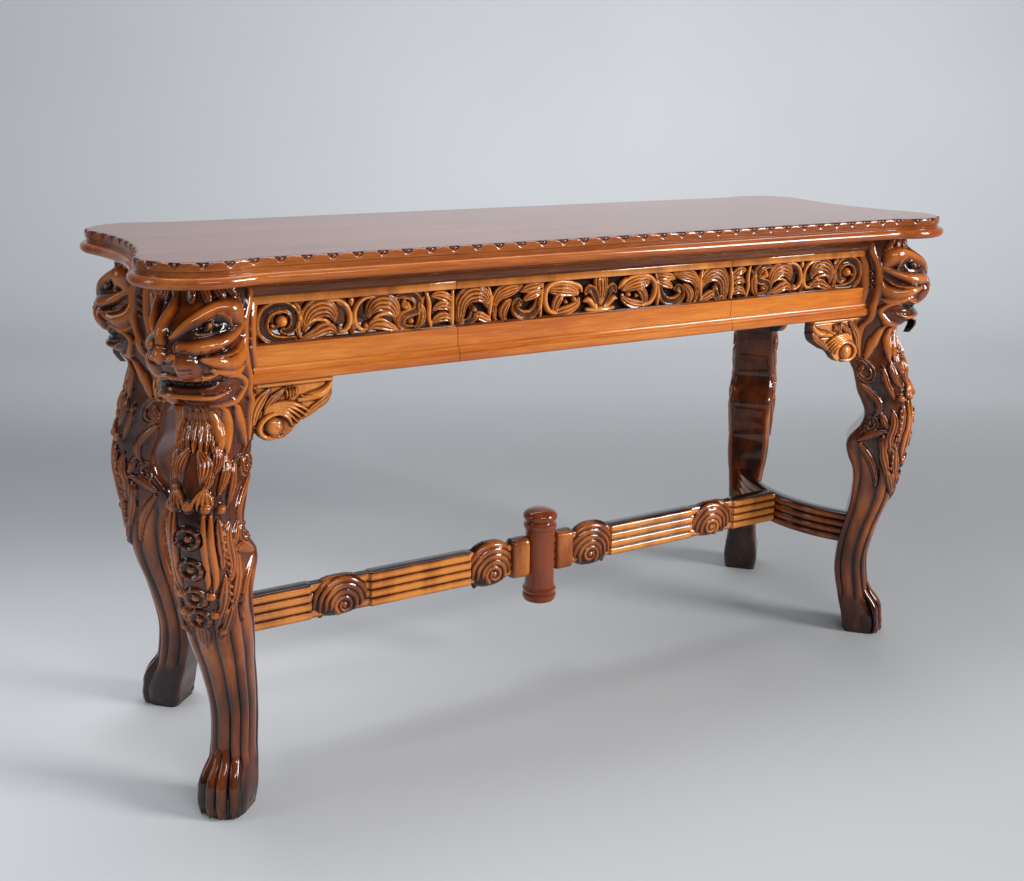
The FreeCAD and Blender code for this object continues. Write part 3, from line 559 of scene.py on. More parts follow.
    def fill(self, outline: Sequence[tuple[float, float]]) -> None:
        """Keep the ground inside an outline."""
        inside = np.zeros(self.across.shape, dtype=bool)
        for (x0, y0), (x1, y1) in zip(outline, (*outline[1:], outline[0])):
            if y0 == y1:
                continue
            crosses = ((y0 > self.up) != (y1 > self.up))
            inside ^= crosses & (self.across < (x1 - x0) * (self.up - y0) / (y1 - y0) + x0)
        self.cover |= inside


def unique(items: Iterable[object]) -> list:
    """The items in their order, each once; a set of mesh parts would change its order from run to run."""
    return list(dict.fromkeys(items))


class Carving:
    """One piece under the chisel: a bmesh whose points know how bright they are, lighter where rubbed and
    with painted shade in the hollows.
    """

    def __init__(self) -> None:
        """Start with nothing."""
        self.mesh = bmesh.new()
        self.wear = self.mesh.verts.layers.float.new("wear")

    def copy(self) -> "Carving":
        """A second carving with the same points and the same brightness, painted shade included."""
        twin = Carving()
        twin.mesh.free()
        twin.mesh = self.mesh.copy()
        twin.wear = twin.mesh.verts.layers.float["wear"]
        return twin

    def skin(self, rows: int, columns: int, place: Callable[[float, float], tuple[Vector, float]],
             round_columns: bool = True, capped: bool = True) -> None:
        """Bend a grid into a surface, join its sides into a tube and close its ends.

        Args:
            rows: Steps along.
            columns: Steps across, or round.
            place: Takes shares along and across, from 0 to 1, and gives a point and its brightness with
                painted shade.
            round_columns: Whether the last column meets the first.
            capped: Whether the open ends are filled.
        """
        grid = bmesh.ops.create_grid(self.mesh, x_segments=rows, y_segments=columns, size=1.0)["verts"]
        for point in grid:
            along = round((point.co.x + 1) / 2 * rows) / rows
            across = round((point.co.y + 1) / 2 * columns) / columns
            if round_columns and across > 1 - 1e-6:
                across = 0.0
            point.co, point[self.wear] = place(along, across)
        bmesh.ops.remove_doubles(self.mesh, verts=grid, dist=2e-6)
        if capped:
            kept = [point for point in grid if point.is_valid]
            rim = unique(edge for point in kept for edge in point.link_edges if edge.is_boundary)
            bmesh.ops.holes_fill(self.mesh, edges=rim, sides=0)

    def stroke(self, path: Sequence[tuple[Vector, Vector, float, float]], sink: float,
               crest: Crest = Crest.ROUND, wear: float = 1.0) -> None:
        """Lay a raised stroke along a path.

        Args:
            path: For each point its place, the way it faces, its half width and its rise, in metres.
            sink: How deep its sides go below the path.
            crest: The shape across it.
            wear: How bright its crest is.
        """
        last = len(path) - 1
        top = 8 + 2 * crest.value[0]
        sides = []
        for index, (_, out, _, _) in enumerate(path):
            ahead = path[min(last, index + 1)][0] - path[max(0, index - 1)][0]
            side = ahead.cross(out)
            sides.append(side.normalized() if side.length > 1e-9 else out.orthogonal().normalized())

        def place(along: float, across: float) -> tuple[Vector, float]:
            index = round(along * last)
            point, out, half, rise = path[index]
            step = round(across * (top + 2))
            if step <= top:
                share = math.sin((step / top * 2 - 1) * math.pi / 2)
                tall, bright = crest.height(np.float64(share))
                return point + sides[index] * half * share + out * (rise * float(tall)), float(bright) * wear
            # Painted shade: the sides that go down below the path are dark.
            edge = 1.0 if step == top + 1 else -1.0
            return point + sides[index] * half * edge * 0.96 - out * sink, 0.0

        self.skin(last, top + 3, place)

    def ball(self, centre: Vector, radii: Sequence[float], wear: float) -> None:
        """A ball or an egg, from its middle in metres and its three radii in millimetres."""
        shape = Matrix.Translation(centre) @ Matrix.Diagonal((*(radius * MM for radius in radii), 1.0))
        made = bmesh.ops.create_uvsphere(self.mesh, u_segments=14, v_segments=8, radius=1.0, matrix=shape)
        for point in made["verts"]:
            point[self.wear] = wear

    def slab(self, plane: Plane, corners: Sequence[tuple[float, float]], low: float, high: float,
             soft: float, wear: float) -> None:
        """A flat board in a plane: an outline pushed out from one level to another.

        Args:
            plane: The plane.
            corners: The outline, in millimetres.
            low: The level of the back.
            high: The level of the face.
            soft: The bevel round the face.
            wear: How bright it is.
        """
        points = [self.mesh.verts.new(plane.at(*corner, low)) for corner in corners]
        face = self.mesh.faces.new(points)
        out = bmesh.ops.extrude_face_region(self.mesh, geom=[face])["geom"]
        moved = [item for item in out if isinstance(item, bmesh.types.BMVert)]
        bmesh.ops.translate(self.mesh, vec=plane.out * (high - low) * MM, verts=moved)
        lids = [item for item in out if isinstance(item, bmesh.types.BMFace)]
        rim = unique(edge for lid in lids for edge in lid.edges)
        made = bmesh.ops.bevel(self.mesh, geom=rim, offset=soft * MM, offset_type="OFFSET", segments=2,
                               profile=0.5, affect="EDGES", material=-1)
        for point in (*points, *made["verts"], *moved):
            if point.is_valid:
                point[self.wear] = wear

    def panel(self, plane: Plane, box: Sequence[float], pitch: float, back: float, ground: float, wear: float,
              draw: Callable[[Relief], None], soften: int = 2) -> None:
        """A carved board: a fine sheet raised by a relief, sawn out round what covers it, and made thick.

        Args:
            plane: The plane of its face.
            box: Left, right, low and high, in millimetres.
            pitch: The size of the sheet's squares.
            back: The level of its back.
            ground: The level of its ground.
            wear: How bright its ground is.
            draw: Lays the strokes.
            soften: How often the sawn edge is smoothed.
        """
        left, right, low, high = box
        grid = bmesh.ops.create_grid(self.mesh, x_segments=round((right - left) / pitch),
                                     y_segments=round((high - low) / pitch), size=1.0)["verts"]
        across = np.array([left + (point.co.x + 1) / 2 * (right - left) for point in grid])
        up = np.array([low + (point.co.y + 1) / 2 * (high - low) for point in grid])
        relief = Relief(across, up, ground, wear)
        draw(relief)
        faces = unique(face for point in grid for face in point.link_faces)
        for point, x, y, height, bright in zip(grid, across, up, relief.height, relief.wear):
            point.co = plane.at(x, y, max(back + 1.0, height))
            point[self.wear] = bright
        kept = {point for point, covered in zip(grid, relief.cover) if covered}
        waste = [face for face in faces if not any(point in kept for point in face.verts)]
        bmesh.ops.delete(self.mesh, geom=waste, context="FACES")
        faces = [face for face in faces if face.is_valid]
        edge = unique(point for face in faces for point in face.verts if point.is_boundary)
        for _ in range(soften):
            bmesh.ops.smooth_vert(self.mesh, verts=edge, factor=0.5, use_axis_x=True, use_axis_y=True,
                                  use_axis_z=True)
        made = bmesh.ops.extrude_face_region(self.mesh, geom=faces)["geom"]
        for item in made:
            if isinstance(item, bmesh.types.BMVert):
                stand = (item.co - plane.origin).dot(plane.out)
                item.co -= plane.out * (stand - back * MM)
                # Painted shade on the back and the sawn edges.
                item[self.wear] = 0.15

    def cast(self, name: str, material: bpy.types.Material, sharp: float = 180.0) -> bpy.types.Object:
        """Turn the work into an object of the scene.

        Args:
            name: Its name.
            material: Its finish.
            sharp: Edges that turn by more than this many degrees stay crisp.

        Returns:
            The object.
        """
        bmesh.ops.recalc_face_normals(self.mesh, faces=self.mesh.faces)
        limit = math.radians(sharp)
        for face in self.mesh.faces:
            face.smooth = True
        for edge in self.mesh.edges:
            edge.smooth = edge.calc_face_angle(0.0) < limit
        data = bpy.data.meshes.new(name)
        self.mesh.to_mesh(data)
        self.mesh.free()
        data.materials.append(material)
        item = bpy.data.objects.new(name, data)
        bpy.context.scene.collection.objects.link(item)
        return item

    def finish(self, name: str, material: bpy.types.Material, names: Sequence[str], body: str = "frame",
               slot: str = "carved_mahogany", sharp: float = 50.0) -> None:
        """Turn the work into a piece of the table.

        Args:
            name: The piece's name.
            material: Its finish.
            names: The solids that it stands for.
            body: What it rides on.
            slot: Not used.
            sharp: Edges that turn by more than this many degrees stay crisp.
        """
        piece = self.cast(name, material, sharp)
        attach(piece, body)
        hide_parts(*names)
        log.info("%s: %d faces", name, len(piece.data.polygons))


# ---------------------------------------------------------------- the top

@dataclass
class Top:
    """The shaped board with its carved lip, and the half-round band under it."""

    ear: tuple[float, float] = (617.0, 168.0)
    ear_radius: float = 79.0
    half_depth: float = 231.0
    side_cove: float = 111.0
    end_cove: float = 511.0
    board: tuple[float, float] = (782.0, 800.0)
    band: tuple[float, float] = (766.5, 782.0)
    hollow: tuple[float, float] = (587.0, 138.0)
    darts: int = 104
    dart_drop: float = 8.6
    dart_deep: float = 2.8
    dart_edge: float = 1.3
    ridge_half: float = 0.14
    ridge_run: float = 3.0
    band_step: int = 5

    def quarter(self) -> list[tuple[Vector, Vector]]:
        """The outline from the middle of the front round the right-hand ear to the middle of the end.

        Returns:
            Points with the way out from each, in millimetres, at close even steps.
        """
        ear = Vector((self.ear[0], -self.ear[1]))
        drop = self.half_depth + self.side_cove - self.ear[1]
        side_x = ear.x - math.sqrt((self.ear_radius + self.side_cove) ** 2 - drop ** 2)
        side = Vector((side_x, -self.half_depth - self.side_cove))
        end = Vector((ear.x + math.sqrt((self.ear_radius + self.end_cove) ** 2 - ear.y ** 2), 0.0))
        run: list[tuple[Vector, Vector]] = []
        count = 180
        for step in range(count):
            run.append((Vector((side_x * step / count, -self.half_depth)), Vector((0.0, -1.0))))
        start, stop = math.pi / 2, math.atan2((ear - side).y, (ear - side).x)
        run += self.sweep(side, self.side_cove, start, stop, -1.0, 24)
        start, stop = math.atan2((side - ear).y, (side - ear).x), math.atan2((end - ear).y, (end - ear).x)
        run += self.sweep(ear, self.ear_radius, start, stop, 1.0, 72)
        start = math.atan2((ear - end).y, (ear - end).x) + 2 * math.pi
        run += self.sweep(end, self.end_cove, start, math.pi, -1.0, 48)
        return run

    def sweep(self, centre: Vector, radius: float, start: float, stop: float, sign: float,
              count: int) -> list[tuple[Vector, Vector]]:
        """Points on an arc, its last one left out.

        Args:
            centre: The arc's centre.
            radius: Its radius.
            start: Its first angle.
            stop: Its last angle.
            sign: 1 if the way out leads away from the centre, -1 if towards it.
            count: Its number of steps.

        Returns:
            The points with the way out from each.
        """
        run = []
        for step in range(count):
            angle = start + (stop - start) * step / count
            ray = Vector((math.cos(angle), math.sin(angle)))
            run.append((centre + ray * radius, ray * sign))
        return run

    def outline(self) -> list[tuple[Vector, Vector, float]]:
        """The whole outline, with how far each point lies along it, resampled at even steps."""
        quarter = self.quarter()
        end_middle = (Vector((self.end_middle(), 0.0)), Vector((1.0, 0.0)))
        half = [*quarter, end_middle, *self.mirrored(quarter, Vector((1.0, -1.0)))]
        rear_middle = (Vector((0.0, self.half_depth)), Vector((0.0, 1.0)))
        whole = [*half, rear_middle, *self.mirrored(half, Vector((-1.0, 1.0)))]
        lengths = [0.0]
        for (point, _), (after, _) in zip(whole, whole[1:] + whole[:1]):
            lengths.append(lengths[-1] + (after - point).length)
        total = lengths[-1]
        count = self.darts * 20
        run, index = [], 0
        for step in range(count):
            here = total * step / count
            while lengths[index + 1] < here:
                index += 1
            share = (here - lengths[index]) / max(1e-9, lengths[index + 1] - lengths[index])
            point, out = whole[index]
            after, out_after = whole[(index + 1) % len(whole)]
            run.append((point.lerp(after, share), out.lerp(out_after, share).normalized(), here / total))
        return run

    @staticmethod
    def mirrored(run: Sequence[tuple[Vector, Vector]], flip: Vector) -> list[tuple[Vector, Vector]]:
        """All but the first point of a run, flipped over and in reverse."""
        return [(point * flip, out * flip) for point, out in reversed(run[1:])]

    def end_middle(self) -> float:
        """How far out the end of the board is at its middle."""
        reach = math.sqrt((self.ear_radius + self.end_cove) ** 2 - self.ear[1] ** 2)
        return self.ear[0] + reach - self.end_cove

    def lip(self, along: float, level: float) -> tuple[float, float]:
        """How deep the lip is cut between its row of domes, and how dark the cuts are painted as shade.

        Args:
            along: The share of the way round.
            level: Height in millimetres.

        Returns:
            The depth in millimetres and the brightness, with painted shade in the sunk darts.
        """
        place = abs((along * self.darts + 0.5) % 1.0 - 0.5) * 2
        below = self.board[1] - level
        inside = max(0.0, min(1.0, (self.dart_drop * (1.0 - place) ** 2.2 - below) / self.dart_edge + 0.3))
        ridge = max(0.0, 1.0 - place / self.ridge_half) * min(1.0, below / self.ridge_run)
        return self.dart_deep * inside * (1.0 - 0.7 * ridge), 1.0 - 0.85 * inside * (1.0 - ridge)

    def carve_board(self, run: Sequence[tuple[Vector, Vector, float]], carved: bpy.types.Material) -> None:
        """Make the board, whose lip is carved, along the whole outline."""
        low, high = self.board
        profile = [(-7.0, high), (-3.4, high), (-1.2, high - 0.3), (-0.4, high - 1.1), (-0.1, high - 2.1),
                   (0.0, high - 3.2), (0.1, high - 4.3), (0.1, high - 5.4), (0.1, high - 6.5),
                   (0.1, high - 7.6), (0.1, high - 8.7), (0.2, high - 9.6), (0.0, high - 11.0),
                   (-1.2, high - 12.0), (-1.9, high - 12.6), (-1.9, high - 14.6), (-0.8, high - 15.2),
                   (-0.8, low), (-9.0, low)]
        work = Carving()

        def edge(along: float, across: float) -> tuple[Vector, float]:
            point, out, share = run[round(along * len(run)) % len(run)]
            grow, level = profile[round(across * (len(profile) - 1))]
            deep, wear = self.lip(share, level) if grow > -6 else (0.0, 0.9)
            if grow < -1.5 and level > high - 1:
                deep *= 0.35
            place = point + out * (grow - deep)
            return Vector((place.x, place.y, level)) * MM, wear

        work.skin(len(run), len(profile) - 1, edge, round_columns=False)
        work.finish("board", carved, ["top_board"], slot="mahogany", sharp=38)

    def shape_band(self, run: Sequence[tuple[Vector, Vector, float]], wood: bpy.types.Material) -> None:
        """Make the half-round band, which is hollow in the middle, along the whole outline."""
        low, high = self.band
        middle, radius = (low + high) / 2, (high - low) / 2
        shape = [(None, high), (-6.0, high)]
        shape += [(9.0 - radius + radius * math.cos(math.radians(angle)),
                   middle + radius * math.sin(math.radians(angle))) for angle in range(84, -85, -14)]
        shape += [(-6.0, low), (None, low)]
        work = Carving()

        def ring(along: float, across: float) -> tuple[Vector, float]:
            point, out, _ = run[round(along * len(run)) % len(run)]
            grow, level = shape[round(across * len(shape)) % len(shape)]
            if grow is None:
                place = Vector((max(-self.hollow[0], min(self.hollow[0], point.x)),
                                max(-self.hollow[1], min(self.hollow[1], point.y))))
            else:
                place = point + out * grow
            return Vector((place.x, place.y, level)) * MM, 1.0

        work.skin(len(run), len(shape), ring, capped=False)
        sides = ("front", "left", "rear", "right")
        work.finish("edge_moulding", wood, [f"edge_band_{side}" for side in sides], slot="mahogany", sharp=40)

    def build(self, carved: bpy.types.Material, wood: bpy.types.Material) -> None:
        """Make the board and the band."""
        run = self.outline()
        self.carve_board(run, carved)
        self.shape_band(run[::self.band_step], wood)


# ---------------------------------------------------------------- the frets

@dataclass(frozen=True)
class Motif:
    """A group of strokes and buttons that belong together."""

    strokes: tuple[Stroke, ...]
    bosses: tuple[Boss, ...] = ()

    def draw(self, relief: Relief, start: float, flip: int, level: float, wide: float, rise: float) -> None:
        """Lay the whole group on a relief.

        Args:
            relief: The relief.
            start: Where the group's origin lies along it.
            flip: -1 to turn the group end for end.
            level: The height that it stands on.
            wide: Makes every stroke wider.
            rise: Makes every stroke taller.
        """
        for stroke in self.strokes:
            knots = [(start + flip * along, up, half * wide, tall * rise)
                     for along, up, half, tall in stroke.knots]
            relief.stroke(knots, stroke.crest, stroke.lobes, level)
        for boss in self.bosses:
            relief.dome(start + flip * boss.along, boss.up, boss.radius, boss.rise * rise, level + 1.0)


def lay(crest: Crest, *knots: tuple[float, float, float, float], lobes: int = 0) -> Stroke:
    """A stroke from its crest and its knots."""
    return Stroke(knots, crest, lobes)


MEDALLION = Motif((
    lay(Crest.ROUND, (2, 2, 2, 3), (3.5, 20, 3, 4), (3, 38, 3, 4), (4, 53, 2, 3)),
    lay(Crest.HOLLOW, (58, 4, 2, 3), (42, 3, 3.6, 5), (26, 5, 5.2, 6), (15, 14, 6, 6.5), (12, 28, 6.2, 7),
        (18, 42, 6.2, 7), (32, 49, 6, 7), (47, 47, 5.6, 6.5), (57, 37, 5, 6), (57, 24, 4.4, 5.5),
        (49, 15, 3.6, 5), (40, 16, 2.6, 4)),
    lay(Crest.VEINED, (66, 3, 1.6, 3), (62, 16, 3, 4), (66, 30, 3.4, 4), (64, 44, 3, 4), (58, 53, 1.5, 3)),
), (Boss(39, 29, 8.5, 8.0), Boss(26, 24, 3.0, 5.0)))

TALL_LEAF = Motif((
    lay(Crest.RIBBED, (1, 12, 2, 3), (3, 26, 5, 4.5), (9, 37, 8, 5.5), (20, 43, 9.5, 6), (33, 42, 8.5, 5.5),
        (42, 33, 5, 4.5), (44, 23, 1.5, 2.5)),
    lay(Crest.ROUND, (30, 52, 1.5, 3), (46, 52, 2.2, 4.5), (58, 46, 2.6, 5), (65, 34, 2.8, 5),
        (65, 19, 2.8, 5), (58, 9, 2.6, 4.5), (49, 9, 2.2, 4), (48, 16, 1.4, 3)),
    lay(Crest.VEINED, (0, 4, 2, 3), (12, 7, 4.5, 5), (26, 13, 6.5, 6), (38, 13, 5, 5), (46, 5, 1.5, 3)),
    lay(Crest.ROUND, (4, 22, 1.4, 3), (16, 27, 2, 4), (30, 25, 1.8, 3.5), (38, 20, 1, 2.5)),
), (Boss(50, 13, 3.6, 5.5),))

BUD = Motif((
    lay(Crest.VEINED, (0, 2, 1.5, 3), (0, 12, 3.6, 5), (0, 22, 3, 4.5), (0, 32, 0.8, 2)),
    lay(Crest.ROUND, (0, 54, 2.2, 3), (0, 48, 3.0, 4), (0, 41, 0.8, 2)),
))

S_SCROLL = Motif((
    lay(Crest.HOLLOW, (2, 49, 2, 3), (12, 51, 4, 5), (24, 49, 5, 6), (32, 40, 5, 6), (30, 29, 4.4, 5.5),
        (20, 25, 4, 5), (9, 21, 4.4, 5.5), (5, 12, 4, 5), (11, 4, 3.6, 4.5), (24, 3, 2.6, 4)),
    lay(Crest.ROUND, (18, 34, 3, 4), (12, 36, 3.4, 5), (12, 42, 2, 3)),
    lay(Crest.VEINED, (30, 3, 2, 3), (36, 12, 4.6, 5.5), (38, 24, 4.6, 5.5), (36, 36, 3, 4.5),
        (42, 45, 1.2, 2.5)),
    lay(Crest.ROUND, (52, 3, 2, 3), (49, 18, 2.4, 4), (50, 36, 2.4, 4), (46, 52, 1.6, 3)),
), (Boss(20, 14, 4.4, 6.0), Boss(15, 38, 4.0, 6.0)))

SPLIT_FAN = Motif((
    lay(Crest.VEINED, (34, 34, 2, 3), (25, 42, 5, 5), (13, 47, 5, 5), (2, 46, 1.4, 2.5)),
    lay(Crest.VEINED, (34, 22, 2, 3), (24, 30, 4.6, 5), (13, 31, 4.4, 5), (4, 26, 1.2, 2.5)),
    lay(Crest.VEINED, (34, 8, 2, 3), (24, 14, 5, 5), (12, 14, 5, 5), (2, 7, 1.4, 2.5)),
    lay(Crest.ROUND, (33, 1, 2.4, 4), (32, 18, 3.2, 5), (33, 36, 2.6, 4.5), (35, 53, 1.6, 3)),
))

PALMETTE = Motif((
    lay(Crest.RIBBED, (0, 8, 2.4, 3), (0, 22, 4, 5), (0, 38, 7.5, 6), (0, 49, 8.5, 5), (0, 53.5, 3, 3)),
    lay(Crest.ROUND, (-25, 5, 2, 3), (-12, 4, 3, 4.5), (0, 4, 3.4, 5), (12, 4, 3, 4.5), (25, 5, 2, 3)),
))

PALMETTE_SIDE = Motif((
    lay(Crest.HOLLOW, (3, 8, 1.6, 3), (8, 20, 3.4, 5), (14, 33, 4.4, 5.5), (22, 38, 4, 5), (27, 31, 2, 3.5)),
    lay(Crest.ROUND, (5, 7, 1.6, 3), (14, 12, 3, 4.5), (22, 20, 3.4, 5), (30, 19, 1.4, 3)),
))

ARCH_LEAF = Motif((
    lay(Crest.ROUND, (46, 4, 2, 3), (60, 8, 3, 5), (68, 20, 3.2, 5.5), (69, 36, 3.2, 5.5), (62, 47, 3, 5),
        (50, 52, 2.6, 5), (34, 52, 2.2, 4), (18, 48, 2.4, 4), (7, 42, 2.6, 4.5), (2, 34, 1.2, 2.5)),
    lay(Crest.RIBBED, (60, 42, 3, 3.5), (49, 43, 7.5, 5.5), (35, 42, 9, 6), (21, 38, 7, 5), (10, 32, 2.4, 3)),
    lay(Crest.VEINED, (50, 5, 2.4, 3), (50, 17, 4.8, 5.5), (44, 28, 5, 6), (35, 32, 1.4, 3)),
    lay(Crest.VEINED, (52, 3, 3, 3), (38, 6, 5.4, 5), (24, 9, 5.4, 5), (12, 16, 4, 5), (8, 24, 1.4, 3)),
), (Boss(18, 24, 4.2, 5.5), Boss(33, 21, 3.4, 5.0)))

HOOK_SCROLL = Motif((
    lay(Crest.ROUND, (3, 2, 1.6, 3), (4, 18, 2.6, 4.5), (2, 36, 2, 4), (-2, 53, 1, 2.5)),
    lay(Crest.VEINED, (0, 51, 2.4, 3), (12, 48, 5, 5.5), (25, 46, 5, 5), (37, 42, 1.4, 3)),
    lay(Crest.VEINED, (2, 41, 2, 3), (13, 37, 4.6, 5), (24, 33, 4.2, 5), (32, 28, 1.2, 3)),
    lay(Crest.HOLLOW, (8, 30, 1.8, 3.5), (11, 17, 4, 5.5), (21, 7, 5.2, 6.5), (35, 6, 5.4, 7),
        (46, 13, 4.8, 7), (49, 23, 3.6, 6), (43, 30, 2.6, 5), (37, 26, 1.8, 4)),
    lay(Crest.RIBBED, (36, 51, 2, 3), (47, 49, 5.5, 5.5), (60, 46, 7.5, 6), (73, 41, 6.6, 5.5),
        (81, 29, 4, 5), (82, 14, 2.6, 4), (80, 3, 2, 3)),
    lay(Crest.VEINED, (66, 3, 3, 4), (68, 14, 5, 5.5), (62, 25, 4.4, 5.5), (54, 31, 1.4, 3)),
), (Boss(41, 23, 3.4, 6.0),))

END_LEAF = Motif((
    lay(Crest.RIBBED, (4, 24, 2, 3), (8, 37, 6, 5), (20, 45, 9, 6), (36, 44, 9.5, 6), (47, 33, 8, 5.5),
        (50, 17, 6, 5), (49, 4, 4, 4)),
    lay(Crest.ROUND, (2, 3, 1.6, 3), (0, 24, 2.2, 4), (-1, 40, 2, 4), (3, 53, 1.4, 3)),
    lay(Crest.HOLLOW, (46, 4, 2, 3), (34, 6, 4, 5), (28, 16, 4.4, 5.5), (31, 26, 2.2, 4)),
    lay(Crest.VEINED, (0, 3, 2, 3), (10, 7, 5, 5), (21, 12, 5, 5.5), (27, 5, 1.6, 3)),
), (Boss(28, 22, 4.4, 6.0),))


@dataclass
class Frieze:
    """The pierced acanthus frets: two fixed ones and the drawer's at the front, and one at each end."""

    face: float = 178.0
    end_face: float = 627.0
    thick: float = 14.0
    low: float = 676.0
    fret_top: float = 730.9
    drawer_half: float = 252.0
    reach: float = 550.6
    end_half: float = 101.6
    top: float = 742.5
    end_top: float = 766.5
    gap: float = 0.5
    drawer_gap: float = 1.0
    ground: float = -11.0
    # Painted shade: the sunk ground of the frets is dark.
    ground_wear_and_shade: float = 0.2
    pitch: float = 1.15
    wide: float = 1.62
    tall: float = 1.75

    def front(self, sign: int, start: float, inward: bool = False) -> Plane:
        """A plane on the front whose X runs outwards from a place, or inwards."""
        way = sign * (-1 if inward else 1)
        return Plane.upright((sign * start, -self.face, self.low), (way, 0, 0), (0, -1, 0))

    def end(self, sign: int) -> Plane:
        """A plane on an end whose X runs from the middle towards the back."""
        return Plane.upright((sign * self.end_face, 0, self.low), (0, 1, 0), (sign, 0, 0))

    def fret(self, plane: Plane, left: float, right: float, top: float,
             row: Sequence[tuple[Motif, float, int]]) -> Carving:
        """Carve a fret: the strip over it, the bar that it stands on and its pierced sheet.

        Args:
            plane: The plane of its face.
            left: Where it starts.
            right: Where it stops.
            top: The upper edge of its strip.
            row: Its motifs, each with its start and its turn.

        Returns:
            The carving.
        """
        work = Carving()
        strip = self.fret_top - self.low
        upper = ((left, strip), (right, strip), (right, top), (left, top))
        lower = ((left, 0), (right, 0), (right, 2.2), (left, 2.2))
        work.slab(plane, upper, -self.thick, 0.0, 0.6, 0.82)
        work.slab(plane, lower, -self.thick, -2.0, 0.4, 0.4)

        def draw(relief: Relief) -> None:
            for motif, start, flip in row:
                motif.draw(relief, start, flip, self.ground, self.wide, self.tall)

        work.panel(plane, (left, right, 0, strip + 1), self.pitch, -self.thick, self.ground,
                   self.ground_wear_and_shade, draw)
        return work

    def build(self, carved: bpy.types.Material) -> None:
        """Carve the five frets."""
        rise = self.top - self.low
        fixed = ((MEDALLION, 0, 1), (TALL_LEAF, 71, 1), (BUD, 140, 1), (TALL_LEAF, 209, -1),
                 (S_SCROLL, 208, 1), (SPLIT_FAN, 261, 1))
        for side, sign in SIDES:
            plane = self.front(sign, self.reach, inward=True)
            work = self.fret(plane, 0, self.reach - self.drawer_half - self.gap, rise, fixed)
            work.finish(f"fret_{side}", carved, [f"fret_panel_{side}"])
        half = self.drawer_half - self.gap
        ours = ((PALMETTE, 0, 1), *((motif, way * start, way) for way in (1, -1) for motif, start in (
            (PALMETTE_SIDE, 0), (ARCH_LEAF, 32), (HOOK_SCROLL, 105), (END_LEAF, 194))))
        work = self.fret(self.front(1, 0), -half, half, rise - self.drawer_gap, ours)
        work.finish("drawer_carving", carved, ["drawer_fret"], "drawer")
        ends = ((BUD, 0, 1), *((motif, way * start, way * turn) for way in (1, -1) for motif, start, turn in (
            (TALL_LEAF, 69, -1), (SPLIT_FAN, 66, 1))))
        for side, sign in SIDES:
            work = self.fret(self.end(sign), -self.end_half, self.end_half, self.end_top - self.low, ends)
            work.finish(f"end_carving_{side}", carved, [f"end_fret_{side}"])


